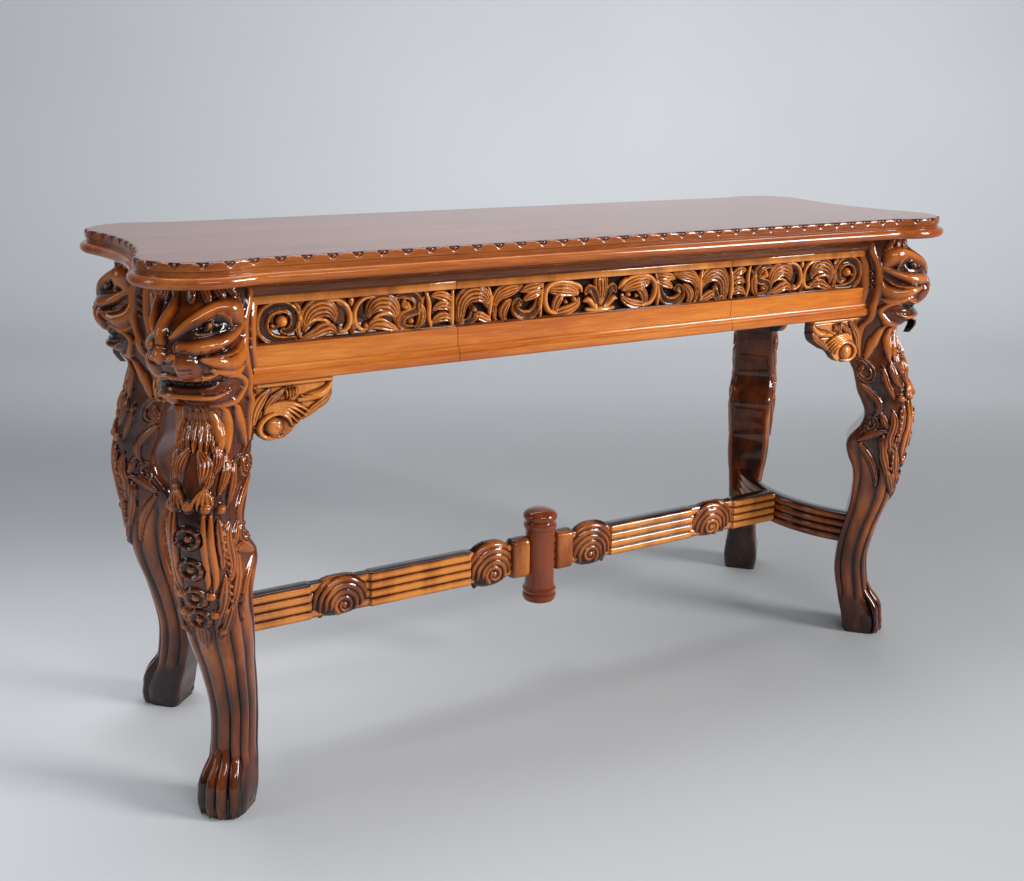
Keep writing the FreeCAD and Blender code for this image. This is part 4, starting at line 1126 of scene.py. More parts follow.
@dataclass
class Brackets:
    """The carved brackets that fill the corners between the frieze and the legs."""

    front_reach: float = 550.0
    front_face: float = 178.0
    end_reach: float = 116.0
    end_face: float = 627.0
    thick: float = 24.0
    end_squeeze: float = 0.72
    box: tuple[float, float, float, float] = (-14.0, 107.0, 541.6, 625.4)
    ground: float = -7.0
    ground_wear_and_shade: float = 0.78
    pitch: float = 1.2
    outline: tuple[tuple[float, float], ...] = (
        (-14, 625.4), (106, 625.4), (106.2, 611), (103, 597), (96, 586), (84, 576), (70, 569.5), (60, 566),
        (52, 559), (44, 550), (35, 544), (26, 542.4), (16, 542.6), (7, 545), (0, 550), (-5, 558), (-8, 566),
        (-14, 567))
    motif: Motif = Motif((
        lay(Crest.VEINED, (-8, 570, 5, 4), (-5, 585, 8, 6), (4, 600, 8, 6), (16, 613, 3, 4)),
        lay(Crest.VEINED, (10, 586, 3, 4), (18, 597, 6, 5), (30, 606, 5, 5), (40, 613, 2, 3)),
        lay(Crest.SOFT, (58, 594, 4, 4), (74, 597, 7, 7), (90, 600, 8, 7.5), (101, 608, 6, 6),
            (106, 618, 4, 4)),
        lay(Crest.VEINED, (104, 600, 2.5, 4), (95, 590, 6, 6), (82, 582, 6, 6), (70, 574, 5, 5),
            (62, 568, 2, 3)),
        lay(Crest.ROUND, (98, 606, 0.8, 3), (88, 599, 1.6, 8.4), (74, 598, 1.6, 8.4), (60, 600, 0.8, 5)),
        *(lay(Crest.ROUND, (41 + 4 * index, 599 + index, 1.6, 4), (40.5 + 4.4 * index, 606 + index, 2.2, 7),
              (40 + 4.6 * index, 613, 0.8, 4)) for index in range(4)),
        *(lay(Crest.ROUND, (7 + 0.6 * index, 579 + 2.4 * index, 1.0, 3),
              (22 + 1.6 * index, 584 + 3.0 * index, 3.2, 6.5),
              (40 + 3.4 * index, 578 + 4.0 * index, 3.2, 7), (55 + 6.0 * index, 562 + 4.6 * index, 1.2, 4))
          for index in range(4)),
        lay(Crest.ROUND, (46, 560, 2, 4), (41, 571, 3.4, 7), (29, 578.6, 3.6, 7.5), (15, 577, 3.8, 7.5),
            (3, 568, 4.2, 7.5), (0, 557, 4.4, 7), (7, 547.6, 4.2, 6.5), (20, 545.4, 3.6, 6), (31, 547, 2, 4)),
        lay(Crest.ROUND, (-14, 620.5, 4.4, 7), (40, 620.5, 4.4, 7), (106, 620.5, 4.4, 7)),
    ), (Boss(21.5, 560.5, 13.6, 8.0), Boss(24, 561, 7.0, 9.4)))

    def carve(self, plane: Plane, squeeze: float, name: str, carved: bpy.types.Material) -> None:
        """Make one bracket.

        Args:
            plane: Its face, with its X leading away from the leg.
            squeeze: How much shorter it is than the front ones.
            name: The node that it stands for.
            carved: Its finish.
        """

        def narrow(along: float) -> float:
            return along * squeeze if along > 0 else along

        def draw(relief: Relief) -> None:
            relief.fill([(narrow(along), up) for along, up in self.outline])
            share = 0.5 + 0.5 * squeeze
            for stroke in self.motif.strokes:
                relief.stroke([(narrow(along), up, half * share, rise)
                               for along, up, half, rise in stroke.knots],
                              stroke.crest, level=self.ground)
            for boss in self.motif.bosses:
                relief.dome(narrow(boss.along), boss.up, boss.radius * share, boss.rise, self.ground + 1.0)

        left, right, low, high = self.box
        work = Carving()
        work.panel(plane, (left, narrow(right), low, high), self.pitch, -self.thick, self.ground,
                   self.ground_wear_and_shade, draw, 3)
        work.finish(f"carved_{name}", carved, [name])

    def build(self, carved: bpy.types.Material) -> None:
        """Make the eight brackets."""
        for side, sign in SIDES:
            for depth, way in DEPTHS:
                plane = Plane.upright((sign * self.front_reach, way * self.front_face, 0), (-sign, 0, 0),
                                      (0, way, 0))
                self.carve(plane, 1.0, f"bracket_{depth}_{side}", carved)
                plane = Plane.upright((sign * self.end_face, way * self.end_reach, 0), (0, -way, 0),
                                      (sign, 0, 0))
                self.carve(plane, self.end_squeeze, f"end_bracket_{depth}_{side}", carved)


# ---------------------------------------------------------------- the legs

@dataclass(frozen=True)
class LegShape:
    """The body of a leg in its diagonal plane: height, reach of the back and the front, half width."""

    rows: tuple[tuple[float, float, float, float], ...] = (
        (0, 32, 33, 32), (14, 35, 35, 34), (26, 38, 34, 35), (36, 40, 31, 35), (48, 43, 24, 34),
        (58, 46, 19, 33), (70, 49, 12, 32), (84, 52, 8, 31), (100, 56, 5, 30), (125, 60, 1, 30),
        (151, 60, -1, 31), (175, 58.5, 2, 32.5), (200, 55, 7, 34.5), (226, 50, 13, 37), (245, 46.5, 19, 40),
        (262, 44, 25, 42), (280, 42.5, 30, 43), (300, 42, 34, 43), (318, 42, 38, 42), (337, 46, 40, 42),
        (355, 54, 45, 42), (376, 60, 48, 43), (392, 58, 50, 43), (404, 50, 51, 42), (416, 40, 52, 42),
        (432, 34, 52, 41), (446, 34, 51, 41), (464, 41, 49, 41), (482, 50, 45, 40), (500, 55, 38, 40),
        (521, 61, 33, 40), (534, 68, 28, 39), (550, 73, 22, 38), (566, 78, 14, 38), (584, 82, 6, 39),
        (598, 84, 6, 42), (604, 85, 8, 44), (610, 86, 17, 46), (616, 86.5, 29, 48), (622, 87, 36, 50),
        (628, 87.2, 38, 52), (634, 87.2, 37, 53.2), (640, 87.2, 35, 53.2), (646, 87.2, 38, 53.2),
        (654, 87.2, 43, 53.2), (664, 87.2, 47, 53.2), (674, 87.2, 51, 53.2), (684, 87.2, 51, 53.2),
        (694, 87.2, 48, 53.2), (704, 87.2, 46, 53.2), (712, 87.2, 43, 53.2), (720, 87.2, 37, 53.2),
        (728, 87.2, 27, 53.2), (736, 87.2, 17, 53.2), (744, 87.2, 10, 53.2), (754, 87.2, 6, 53.2),
        (766.5, 87.2, 5, 53.2))
    lean: float = 6.0

    def at(self, level: float) -> tuple[float, float, float]:
        """Back, front and half width at a height."""
        rows = self.rows
        level = max(rows[0][0], min(rows[-1][0], level))
        for index in range(len(rows) - 1):
            if level <= rows[index + 1][0]:
                break
        low, high = rows[index], rows[index + 1]
        before = rows[max(0, index - 1)]
        after = rows[min(len(rows) - 1, index + 2)]
        t = (level - low[0]) / (high[0] - low[0])
        found = []
        for b, a, c, d in zip(before[1:], low[1:], high[1:], after[1:]):
            first, second = (c - b) / 2, (d - a) / 2
            found.append((2 * t ** 3 - 3 * t * t + 1) * a + (t ** 3 - 2 * t * t + t) * first
                         + (3 * t * t - 2 * t ** 3) * c + (t ** 3 - t * t) * second)
        return found[0], found[1], found[2]

    def skin(self, angle: float, level: float) -> Vector:
        """A point on the plain surface.

        Args:
            angle: Degrees round the leg; 0 faces outwards and 90 is one side.
            level: Height in millimetres.

        Returns:
            The point in millimetres: outwards, sideways and up.
        """
        back, front, half = self.at(level)
        middle = -back + 0.52 * (front + back)
        side = math.copysign(1.0, angle)
        if abs(angle) <= 90:
            turn = math.radians(abs(angle))
            reach = (front - middle) * math.cos(turn) ** 0.85
            lean = math.radians(self.lean) * math.cos(turn) * max(0.0, min(1.0, (level - 602) / 30))
            return Vector((middle + reach * math.cos(lean),
                           side * half * math.sin(turn) ** 0.85 - reach * math.sin(lean), level))
        corner = 3.0 + 9.0 * max(0.0, min(1.0, (640 - level) / 40))
        straight, arc = middle + back - corner, corner * math.pi / 2
        walk = (abs(angle) - 90) / 90 * (straight + arc + half - corner)
        if walk < straight:
            return Vector((middle - walk, side * half, level))
        bend = min(math.pi / 2, (walk - straight) / corner)
        rest = max(0.0, walk - straight - arc)
        return Vector((-back + corner * (1 - math.sin(bend)),
                       side * (half - corner * (1 - math.cos(bend)) - rest), level))


@dataclass
class Head:
    """The lion's head, drawn on the leg's skin in degrees from the nose and millimetres up."""

    turn: float = 12.0
    sides: tuple[Stroke, ...] = (
        lay(Crest.SOFT, (12, 704, 4, 4), (30, 722, 9, 8), (54, 736, 13, 11), (78, 731, 14, 11),
            (95, 712, 5, 4)),
        lay(Crest.ROUND, (40, 724, 1, 3), (56, 729, 2.4, 7), (70, 724, 2.4, 7), (80, 712, 1, 4)),
        lay(Crest.SOFT, (22, 692, 9, 5), (44, 692, 11, 8), (70, 697, 11, 9), (90, 708, 7, 6),
            (98, 718, 2, 3)),
        lay(Crest.ROUND, (28, 689, 1, 4), (50, 690, 2.2, 9), (72, 697, 2.2, 9.5), (92, 710, 1, 5)),
        lay(Crest.SOFT, (46, 677, 4, 5), (62, 672, 11, 9), (82, 668, 15, 10), (96, 679, 10, 7),
            (99, 698, 3, 4)),
        lay(Crest.ROUND, (46, 679, 1, 5), (64, 679, 2.4, 9.6), (84, 683, 2.4, 10), (96, 697, 1, 5)),
        lay(Crest.ROUND, (54, 661, 3, 3), (68, 656, 5.5, 5), (84, 653, 6, 5), (95, 658, 2, 3)),
        lay(Crest.ROUND, (0, 655, 3, 4), (22, 652, 3.4, 5), (44, 652, 3.2, 5), (62, 657, 1.4, 3)),
        lay(Crest.ROUND, (0, 627, 3.4, 5), (28, 626, 3.4, 5.5), (52, 625, 3.2, 5), (72, 631, 1.6, 3)),
        lay(Crest.ROUND, (66, 650, 2, 3), (82, 648, 4.4, 5), (91, 634, 5, 6), (82, 617, 5, 6),
            (60, 611, 4, 5), (38, 611, 2, 3)),
        lay(Crest.ROUND, (101, 766, 7, 4.5), (101, 720, 7.5, 5), (101, 680, 7.5, 5), (101, 636, 7, 5)),
        lay(Crest.ROUND, (118, 766, 7, 3), (118, 720, 7.5, 3.4), (118, 680, 7.5, 3.4), (118, 636, 7, 3.4)))

    def at(self, angle: float) -> float:
        """Degrees round the leg for degrees from the nose."""
        return angle - self.turn * max(0.0, math.cos(math.radians(angle)))

    def turned(self, knots: Iterable[Knot], flip: int = 1) -> list[tuple[float, ...]]:
        """Knots drawn from the nose, moved onto the leg."""
        return [(self.at(flip * angle), *rest) for angle, *rest in knots]

    def carve(self, relief: Relief) -> None:
        """Carve the head."""
        for index in range(-4, 5):
            relief.stroke(self.turned(((index * 15, 766, 5, 3), (index * 17, 757, 6.5, 5),
                                       (index * 19, 748, 5, 5), (index * 21, 741, 1, 2))), Crest.VEINED)
        relief.stroke(self.turned(((0, 744, 8, 4), (0, 726, 12, 7), (0, 708, 12, 8), (0, 694, 10, 6),
                                   (0, 686, 9, 5))), Crest.SOFT)
        for flip in (1, -1):
            relief.cut(self.turned(((44, 716, 7, 4), (52, 718, 9, 5), (62, 716, 6, 3)), flip), 0.95)
            for stroke in self.sides:
                relief.stroke(self.turned(stroke.knots, flip), stroke.crest)
            relief.dome(self.at(flip * 52), 717, 6.4, 3.4, wear=0.5)
            relief.dome(self.at(flip * 52), 717, 3.6, 5.6)
            relief.dome(self.at(flip * 27), 667, 20, 9.5, power=0.8, wear=0.9)
            relief.dome(self.at(flip * 14), 677, 9.5, 8, power=0.7)
        relief.dome(self.at(0), 681, 12, 8.5, power=0.7)
        relief.dome(self.at(0), 617, 16, 5.5, power=0.9, wear=0.85)
        for flip in (1, -1):
            relief.cut(self.turned(((7, 673, 1.6, 3), (13, 674, 2.4, 4), (17, 677, 1.2, 2)), flip))
            relief.cut(self.turned(((0, 641, 3.8, 3.6), (30, 640, 4.2, 4.4), (52, 643, 3.4, 4),
                                    (68, 649, 1.4, 2)), flip), 0.88)
            for tooth, tall in ((6, 3), (16, 3), (27, 5.5), (38, 3), (48, 2.6)):
                relief.stroke(self.turned(((tooth, 647, 2.6, 3.4), (tooth, 646 - tall, 1.4, 2.4)), flip),
                              level=-2.6, wear=0.55)
            for level in (662, 668):
                relief.cut(self.turned(((20, level, 0.8, 1.2), (34, level + 1, 0.8, 1.2)), flip), 0.7)
            for level in (702, 690, 678):
                relief.dome(flip * 110, level, 2.8, 6.0)

    def beard(self, work: Carving) -> None:
        """The tuft that hangs from the chin."""
        knots = ((36, 614, 9, 5), (36, 606, 8, 6), (33, 598, 5.5, 5), (29, 590, 1.4, 3))
        path = [(Vector((reach, -reach * 0.2, up)) * MM, Vector((1, -0.2, 0)).normalized(),
                 half * MM, rise * MM) for reach, up, half, rise in flow(knots)]
        work.stroke(path, 8 * MM, Crest.RIBBED)


@dataclass
class Leg:
    """A cabriole leg under a lion's head, ending in a paw; drawn once and set at each corner."""

    shape: LegShape = field(default_factory=LegShape)
    head: Head = field(default_factory=Head)
    foot: tuple[float, float] = (630.0, 181.0)
    height: float = 766.5
    paw_top: float = 78.0
    shin_top: float = 286.0
    columns: int = 200
    reed_span: float = 35.0
    reed_deep: float = 4.4
    reed_low: float = 66.0
    reed_high: float = 318.0
    reed_edge: float = 146.0
    flowers: tuple[float, ...] = (437.0, 393.0, 350.0, 316.0)
    toes: tuple[float, ...] = (-25.5, -8.5, 8.5, 25.5)

    def both(self, relief: Relief, strokes: Iterable[Stroke]) -> None:
        """Lay strokes of (degrees round, height, half width, rise) on both sides."""
        for stroke in strokes:
            for flip in (1, -1):
                relief.stroke([(flip * angle, *rest) for angle, *rest in stroke.knots], stroke.crest,
                              stroke.lobes)

    def body(self, work: Carving) -> None:
        """The whole leg above the toes, with all its relief."""
        levels = np.concatenate((np.linspace(0, self.paw_top, 27)[:-1],
                                 np.linspace(self.paw_top, self.shin_top, 50)[:-1],
                                 np.linspace(self.shin_top, self.height, 276)))
        share = np.linspace(-1, 1, self.columns + 1)
        angles = 180 * (0.72 * share + 0.28 * share ** 3)
        points = np.array([[self.shape.skin(angle, level) for angle in angles] for level in levels])
        round_, rising = np.gradient(points, axis=1), np.gradient(points, axis=0)
        facing = np.cross(round_, rising)
        facing /= np.linalg.norm(facing, axis=2, keepdims=True) + 1e-9
        scale = np.maximum(0.3, np.linalg.norm(round_, axis=2) / np.gradient(angles))
        across, up = np.meshgrid(angles, levels)
        relief = Relief(across.ravel(), up.ravel(), 0.0, 0.45, scale.ravel())
        self.reeds(relief)
        self.chest(relief)
        self.knee(relief)
        self.head.carve(relief)
        points += facing * relief.height.reshape(across.shape)[..., None]
        wear = relief.wear.reshape(across.shape)

        def place(along: float, across: float) -> tuple[Vector, float]:
            row, column = round(along * (len(levels) - 1)), round(across * self.columns)
            return Vector(points[row, column]) * MM, float(wear[row, column])

        work.skin(len(levels) - 1, self.columns, place)

    def reeds(self, relief: Relief) -> None:
        """The broad reeds down the shin, which die out over the paw and under the knee."""
        angle, level = np.abs(relief.across), relief.up
        high = self.reed_high + 62 * np.clip((angle - 70) / 30, 0, 1)
        ends = np.minimum((level - self.reed_low) / 16, (high - level) / 20)
        fade = np.clip(np.minimum(ends, (self.reed_edge - angle) / 12), 0, 1)
        arch = np.sqrt(1 - (2 * ((relief.across / self.reed_span + 0.5) % 1.0) - 1) ** 2)
        relief.height -= (1 - arch) * self.reed_deep * fade
        # Painted shade in the narrow grooves between the reeds.
        relief.wear += ((0.06 + 0.84 * arch) - relief.wear) * fade

    def paw(self, work: Carving) -> None:
        """Four toes with knuckles and claws, and the pads behind them."""
        for toe, back in zip(self.toes, (7, 0, 0, 7)):
            knots = ((4, 0.62, 96, 4.5, 2), (10, 0.7, 80, 7, 4), (20, 0.84, 64, 8, 6.5),
                     (28, 0.95, 47, 8.8, 7.5), (31, 1, 32, 8.4, 6.0), (33, 1, 18, 8.6, 6.5),
                     (32, 1, 4, 7.4, 5.0), (31, 1, 0.5, 5, 3))
            path = [(Vector((reach - back, toe * spread, up)) * MM,
                     Vector((0.9, toe / 90, 0.35)).normalized(), half * MM, rise * MM)
                    for reach, spread, up, half, rise in flow(knots)]
            work.stroke(path, 9 * MM, wear=0.85)
            claw = [(Vector((34 - back, toe, 17)) * MM, Vector((0.8, 0, 0.6)), 4.2 * MM, 4 * MM),
                    (Vector((36.4 - back, toe, 10)) * MM, Vector((1, 0, 0.2)), 3.4 * MM, 3.5 * MM),
                    (Vector((36 - back, toe, 2)) * MM, Vector((1, 0, 0)), 1.0 * MM, 2.0 * MM)]
            work.stroke(claw, 4 * MM)
        for side in (-1, 1):
            work.ball(Vector((-10, side * 27, 16)) * MM, (18, 8, 15), 0.5)
            work.ball(Vector((-26, side * 22, 12)) * MM, (10, 10, 11), 0.4)

    def chest(self, relief: Relief) -> None:
        """The bib of hair, the long locks beside it, the petals, the shells and the beads under them."""
        for row, (top, low) in enumerate(((606, 577), (595, 561), (583, 545))):
            for index in range(-4, 5):
                angle = index * 11 + 5.5 * (row % 2)
                relief.stroke(((angle * 0.75, top, 3, 2 + row),
                               (angle * 0.9, (top + low) / 2 + 3, 4.6, 3.5 + row),
                               (angle, low + 8, 3.0, 3.5 + row), (angle, low, 0.3, 1.5)), Crest.VEINED)
        self.both(relief, (
            lay(Crest.ROUND, (22, 600, 3, 4), (30, 586, 6, 7), (44, 566, 7, 8), (52, 553, 4, 5),
                (53, 546, 1, 2)),
            lay(Crest.ROUND, (44, 608, 4, 5), (52, 590, 7, 7), (60, 568, 8, 7.5), (65, 550, 5, 5),
                (65, 541, 1, 2)),
            lay(Crest.ROUND, (68, 608, 4.5, 5), (78, 590, 8, 7), (94, 568, 8, 7), (108, 550, 5, 5),
                (112, 541, 1, 2)),
            lay(Crest.ROUND, (100, 640, 7, 5), (106, 610, 8, 6.5), (116, 580, 8, 6.5), (121, 556, 5, 5),
                (122, 546, 1, 2)),
            lay(Crest.ROUND, (118, 640, 7, 5), (124, 610, 7, 5.5), (131, 580, 7, 5.5), (134, 556, 4, 4),
                (135, 548, 1, 2)),
            lay(Crest.RIBBED, (10, 548, 5, 4), (20, 536, 10.5, 7), (22, 523, 9.5, 7), (16, 509, 1.6, 3)),
            lay(Crest.RIBBED, (40, 552, 4, 4), (47, 541, 8.5, 6.5), (45, 528, 7, 6), (38, 517, 1.4, 3)),
            lay(Crest.RIBBED, (62, 540, 3, 3), (66, 524, 8, 6), (60, 506, 7, 6), (52, 494, 2, 3)),
            lay(Crest.RIBBED, (34, 522, 3, 4), (32, 512, 6.5, 6), (27, 503, 4, 5), (22, 498, 1.5, 2)),
            lay(Crest.VEINED, (84, 530, 3, 4), (84, 508, 7, 6.5), (80, 488, 6, 5.5), (76, 474, 1.5, 2)),
            lay(Crest.HOLLOW, (132, 546, 3, 3), (118, 543, 4.4, 5), (105, 530, 5, 5.5), (107, 512, 5, 5.5),
                (122, 505, 4.4, 5), (132, 517, 4, 5), (123, 528, 3, 4)),
            lay(Crest.VEINED, (134, 500, 3, 3), (121, 488, 7, 5.5), (108, 468, 7.5, 5.5), (112, 448, 5, 4),
                (124, 438, 1.5, 2))))
        for side in (-1, 1):
            for ray in range(-2, 3):
                relief.stroke(((side * 24, 504, 1.6, 4), (side * (24 + ray * 4), 496, 2.4, 6.5),
                               (side * (24 + ray * 8), 485, 3.3, 6.5), (side * (24 + ray * 9), 476, 1.2, 3)))
        for angle in (-60, -30, 0, 30, 60):
            relief.dome(angle, 480 - abs(angle) * 0.1, 7.5, 8)

    def knee(self, relief: Relief) -> None:
        """The string of flowers in its frame, the knobs, the pearls and the leaves beside them."""
        self.both(relief, (
            lay(Crest.ROUND, (26, 468, 3, 3), (26, 440, 5.2, 5), (26, 400, 5.4, 5), (25, 376, 4.4, 4),
                (21, 364, 1, 2)),
            lay(Crest.ROUND, (40, 468, 3, 3), (40, 440, 5.4, 5.5), (40, 400, 5.6, 5.5), (38, 372, 4.6, 4.5),
                (32, 358, 1, 2)),
            lay(Crest.VEINED, (56, 462, 3, 3), (60, 446, 7.5, 6), (62, 424, 8, 6), (58, 402, 6, 4.5),
                (52, 390, 1.4, 2), lobes=3),
            lay(Crest.VEINED, (84, 452, 3, 3), (80, 432, 8, 6), (78, 406, 8.5, 6.5), (70, 382, 6.5, 5),
                (60, 366, 1.4, 2), lobes=3),
            lay(Crest.VEINED, (90, 404, 3, 3), (84, 384, 8, 6), (80, 360, 8.5, 6.5), (70, 336, 6.5, 5),
                (58, 320, 1.4, 2), lobes=3),
            lay(Crest.VEINED, (56, 380, 3, 3), (54, 358, 8, 6), (46, 336, 8, 6), (34, 316, 5.5, 4.5),
                (24, 302, 1.4, 2), lobes=2),
            lay(Crest.VEINED, (66, 336, 3, 3), (56, 318, 7.5, 5.5), (42, 300, 6.5, 5), (26, 286, 1.4, 2),
                lobes=2),
            lay(Crest.VEINED, (90, 420, 4, 4), (100, 433, 7, 6), (107, 447, 2, 3)),
            lay(Crest.RIBBED, (88, 412, 3, 3), (100, 409, 8, 6), (114, 403, 10, 6.5), (124, 394, 5, 4)),
            lay(Crest.VEINED, (122, 386, 3, 3), (108, 366, 7, 5.5), (98, 344, 7, 5.5), (92, 318, 4.5, 4),
                (90, 302, 1, 2)),
            lay(Crest.HOLLOW, (130, 438, 2.5, 3), (118, 434, 4.2, 4.5), (112, 422, 4.6, 5),
                (120, 412, 4.4, 5), (130, 418, 3.6, 4.5), (126, 427, 2.4, 4))))
        for level in self.flowers:
            relief.rosette(0, level, 17.5, 10, 6.5)
        for side in (-1, 1):
            for angle, level, size in ((27, 354, 7), (28, 324, 6.6), (38, 298, 6.4), (54, 358, 5),
                                       (50, 328, 4.6)):
                relief.dome(side * angle, level, size, size)
            for pearl in range(11):
                relief.dome(side * (66 - 0.4 * pearl), 452 - pearl * 11, 3.0, 8.0)
        relief.stroke(((0, 304, 6, 3.5), (0, 294, 10, 5.5), (0, 282, 8, 5), (0, 268, 1, 2)), Crest.RIBBED)

    def build(self, carved: bpy.types.Material) -> None:
        """Make the four legs; the heads turn a little towards the ends of the table."""
        work = Carving()
        self.body(work)
        self.paw(work)
        self.head.beard(work)
        for point in work.mesh.verts:
            point.co.z = max(0.0, point.co.z)
        for end, sx in SIDES:
            for depth, sy in DEPTHS:
                copy = work.copy()
                place = (Matrix.Translation((sx * self.foot[0] * MM, sy * self.foot[1] * MM, 0))
                         @ Matrix.Rotation(math.atan2(sy, sx), 4, "Z") @ Matrix.Diagonal((1, sx * sy, 1, 1)))
                bmesh.ops.transform(copy.mesh, matrix=place, verts=copy.mesh.verts)
                copy.finish(f"lion_leg_{depth}_{end}", carved, [f"leg_{depth}_{end}"], sharp=70)
        work.mesh.free()


# ---------------------------------------------------------------- the stretchers

@dataclass
class Stretchers:
    """The reeded H of stretchers: two bowed ends, two centre bars and the drum that joins them."""

    low: float = 182.0
    high: float = 242.0
    half: float = 14.8
    proud: float = 16.9
    end_half: float = 15.0
    ornaments: tuple[tuple[float, float], ...] = ((26.2, 64.0), (60.0, 150.0), (332.0, 436.0))
    bar: tuple[float, float] = (26.0, 536.0)
    bow_x: float = 551.0
    bow_radius: float = 262.0
    bow_reach: float = 158.6
    end_low: float = 177.0
    end_high: float = 235.0
    reeds: int = 4
    reed_deep: float = 4.2
    pitch: float = 1.3
    block_half: float = 37.0
    near_swell: float = 12.5
    far_swell: float = 5.5

    def reeded(self, work: Carving, rows: int, low: float, high: float, half: float,
               place: Callable[[float, float, float], Vector]) -> None:
        """A bar with reeds on both faces.

        Args:
            work: The carving.
            rows: Steps along it.
            low: Its underside.
            high: Its upper side.
            half: Half its thickness.
            place: Takes the share along it, the offset across it and the height, and gives the point.
        """
        steps = self.reeds * 8
        section = []
        for face in (1, -1):
            for step in range(steps + 1):
                share = step / steps
                bulge = abs(math.sin(math.pi * self.reeds * share)) ** 0.5
                level = high - share * (high - low) if face > 0 else low + share * (high - low)
                offset = face * (half - self.reed_deep + self.reed_deep * bulge)
                # Painted shade in the grooves between the reeds.
                section.append((offset, level, 0.12 + 0.86 * bulge))

        def bent(along: float, across: float) -> tuple[Vector, float]:
            offset, level, wear = section[round(across * len(section)) % len(section)]
            return place(along, offset, level) * MM, wear

        work.skin(rows, len(section), bent)

    def boss(self, work: Carving, low: float, high: float, tall: float) -> None:
        """A leaf ornament round the bar: a spiral with ribs that wrap over the top.

        Args:
            work: The carving.
            low: Where it starts from the middle of the table.
            high: Where it stops.
            tall: How far it swells over and under the bar.
        """
        span, top = high - low, (self.high - self.low) / 2 + tall
        eye_x, eye_y = span * 0.44, -top * 0.42
        spiral = [(eye_x + (16.5 - turn) * math.cos(math.radians(45 * turn - 50)),
                   eye_y + (16.5 - turn) * math.sin(math.radians(45 * turn - 50)), 4.4 - 0.2 * turn, 4.2)
                  for turn in range(11)]
        ribs = ((-8, 2.0), (28, 4.6), (66, 5.6), (104, 5.9), (142, 5.6), (180, 4.4), (214, 2.0))

        def draw(relief: Relief) -> None:
            relief.cushion((0, span, -top, top), 15.2, -self.proud, 2.3, 0.3)
            shape = relief.cover.copy()
            for ring in range(4):
                far = 24.0 + 10.6 * ring
                relief.stroke([(eye_x + far * math.cos(math.radians(angle)) * 0.94,
                                eye_y + far * math.sin(math.radians(angle)), half, 2.3)
                               for angle, half in ribs], level=None, wear=0.62)
            relief.stroke(spiral, level=-4.6, wear=0.66)
            relief.dome(eye_x, eye_y, 5.4, 4.2, -4.3, wear=0.7)
            relief.cover = shape
            relief.fill(((span * 0.6, -top * 0.72), (span * 0.94, -top * 0.5), (span * 0.82, -top)))

        self.panels(work, low, (0, span, -top, top), draw)

    def panels(self, work: Carving, start: float, box: Sequence[float],
               draw: Callable[[Relief], None]) -> None:
        """The same relief on both faces of the bar, back to back."""
        for face in (-1, 1):
            plane = Plane.upright((start, face * self.proud, (self.low + self.high) / 2), (1, 0, 0),
                                  (0, face, 0))
            work.panel(plane, box, self.pitch, -self.proud, -self.proud + 1.5, 0.3, draw)

    def drum(self, material: bpy.types.Material) -> None:
        """The turned drum in the middle."""
        profile = [(0, 123), (24, 123), (28.4, 125), (30.8, 130), (30.4, 135.5), (27.6, 138.4), (29.6, 141.2),
                   (30.6, 145), (29.6, 148.6), (27.0, 150.4), (26.4, 153), (26.4, 257), (26.8, 259.6),
                   (28.8, 261.6), (29.8, 266), (28.8, 270.2), (25.4, 271.8), (24.6, 274), (25.4, 276.2),
                   (29.2, 278.4), (30.6, 282), (30.2, 286.6), (27.6, 290.6), (22, 293.8), (14, 296),
                   (6, 296.9), (0, 297)]
        work = Carving()

        def turned(along: float, across: float) -> tuple[Vector, float]:
            radius, level = profile[round(along * (len(profile) - 1))]
            angle = across * 2 * math.pi
            return Vector((radius * math.cos(angle), radius * math.sin(angle), level)) * MM, 0.8

        work.skin(len(profile) - 1, 64, turned, capped=False)
        work.finish("drum", material, ["centre_drum"], sharp=30)

    def centre_bar(self) -> Carving:
        """Carve the right half of the centre bar, with its block and its two bosses."""
        work = Carving()
        start, stop = self.bar
        block, near, far = self.ornaments

        def straight(along: float, off: float, level: float) -> Vector:
            reach = start + (stop - start) * along
            covered = any(low - 2 < reach < high - 4 for low, high in self.ornaments)
            return Vector((reach, off * (0.6 if covered else 1.0), level))

        self.reeded(work, 170, self.low, self.high, self.half, straight)
        self.boss(work, *near, self.near_swell)
        self.boss(work, *far, self.far_swell)
        box = (0, block[1] - block[0], -self.block_half, self.block_half)
        self.panels(work, block[0], box,
                    lambda relief: relief.cushion(box, self.proud, -self.proud, 8.0, 0.66))
        return work

    def end_bow(self) -> Carving:
        """Carve the bowed stretcher of the right-hand end."""
        work = Carving()
        centre = self.bow_x + self.bow_radius

        def bent(along: float, off: float, level: float) -> Vector:
            turn = math.asin(self.bow_reach * (along * 2 - 1) / self.bow_radius)
            reach = self.bow_radius - off
            return Vector((centre - reach * math.cos(turn), reach * math.sin(turn), level))

        self.reeded(work, 40, self.end_low, self.end_high, self.end_half, bent)
        return work

    def build(self, bars: bpy.types.Material, bows: bpy.types.Material, turned: bpy.types.Material) -> None:
        """Make the five pieces, with one finish for each kind."""
        for side, sign in SIDES:
            for work, name, finish, node in (
                    (self.centre_bar(), f"reeded_bar_{side}", bars, f"centre_stretcher_{side}"),
                    (self.end_bow(), f"reeded_bow_{side}", bows, f"end_stretcher_{side}")):
                if sign < 0:
                    bmesh.ops.scale(work.mesh, vec=(-1, 1, 1), verts=work.mesh.verts)
                work.finish(name, finish, [node])
        self.drum(turned)


# ---------------------------------------------------------------- carried-over pieces

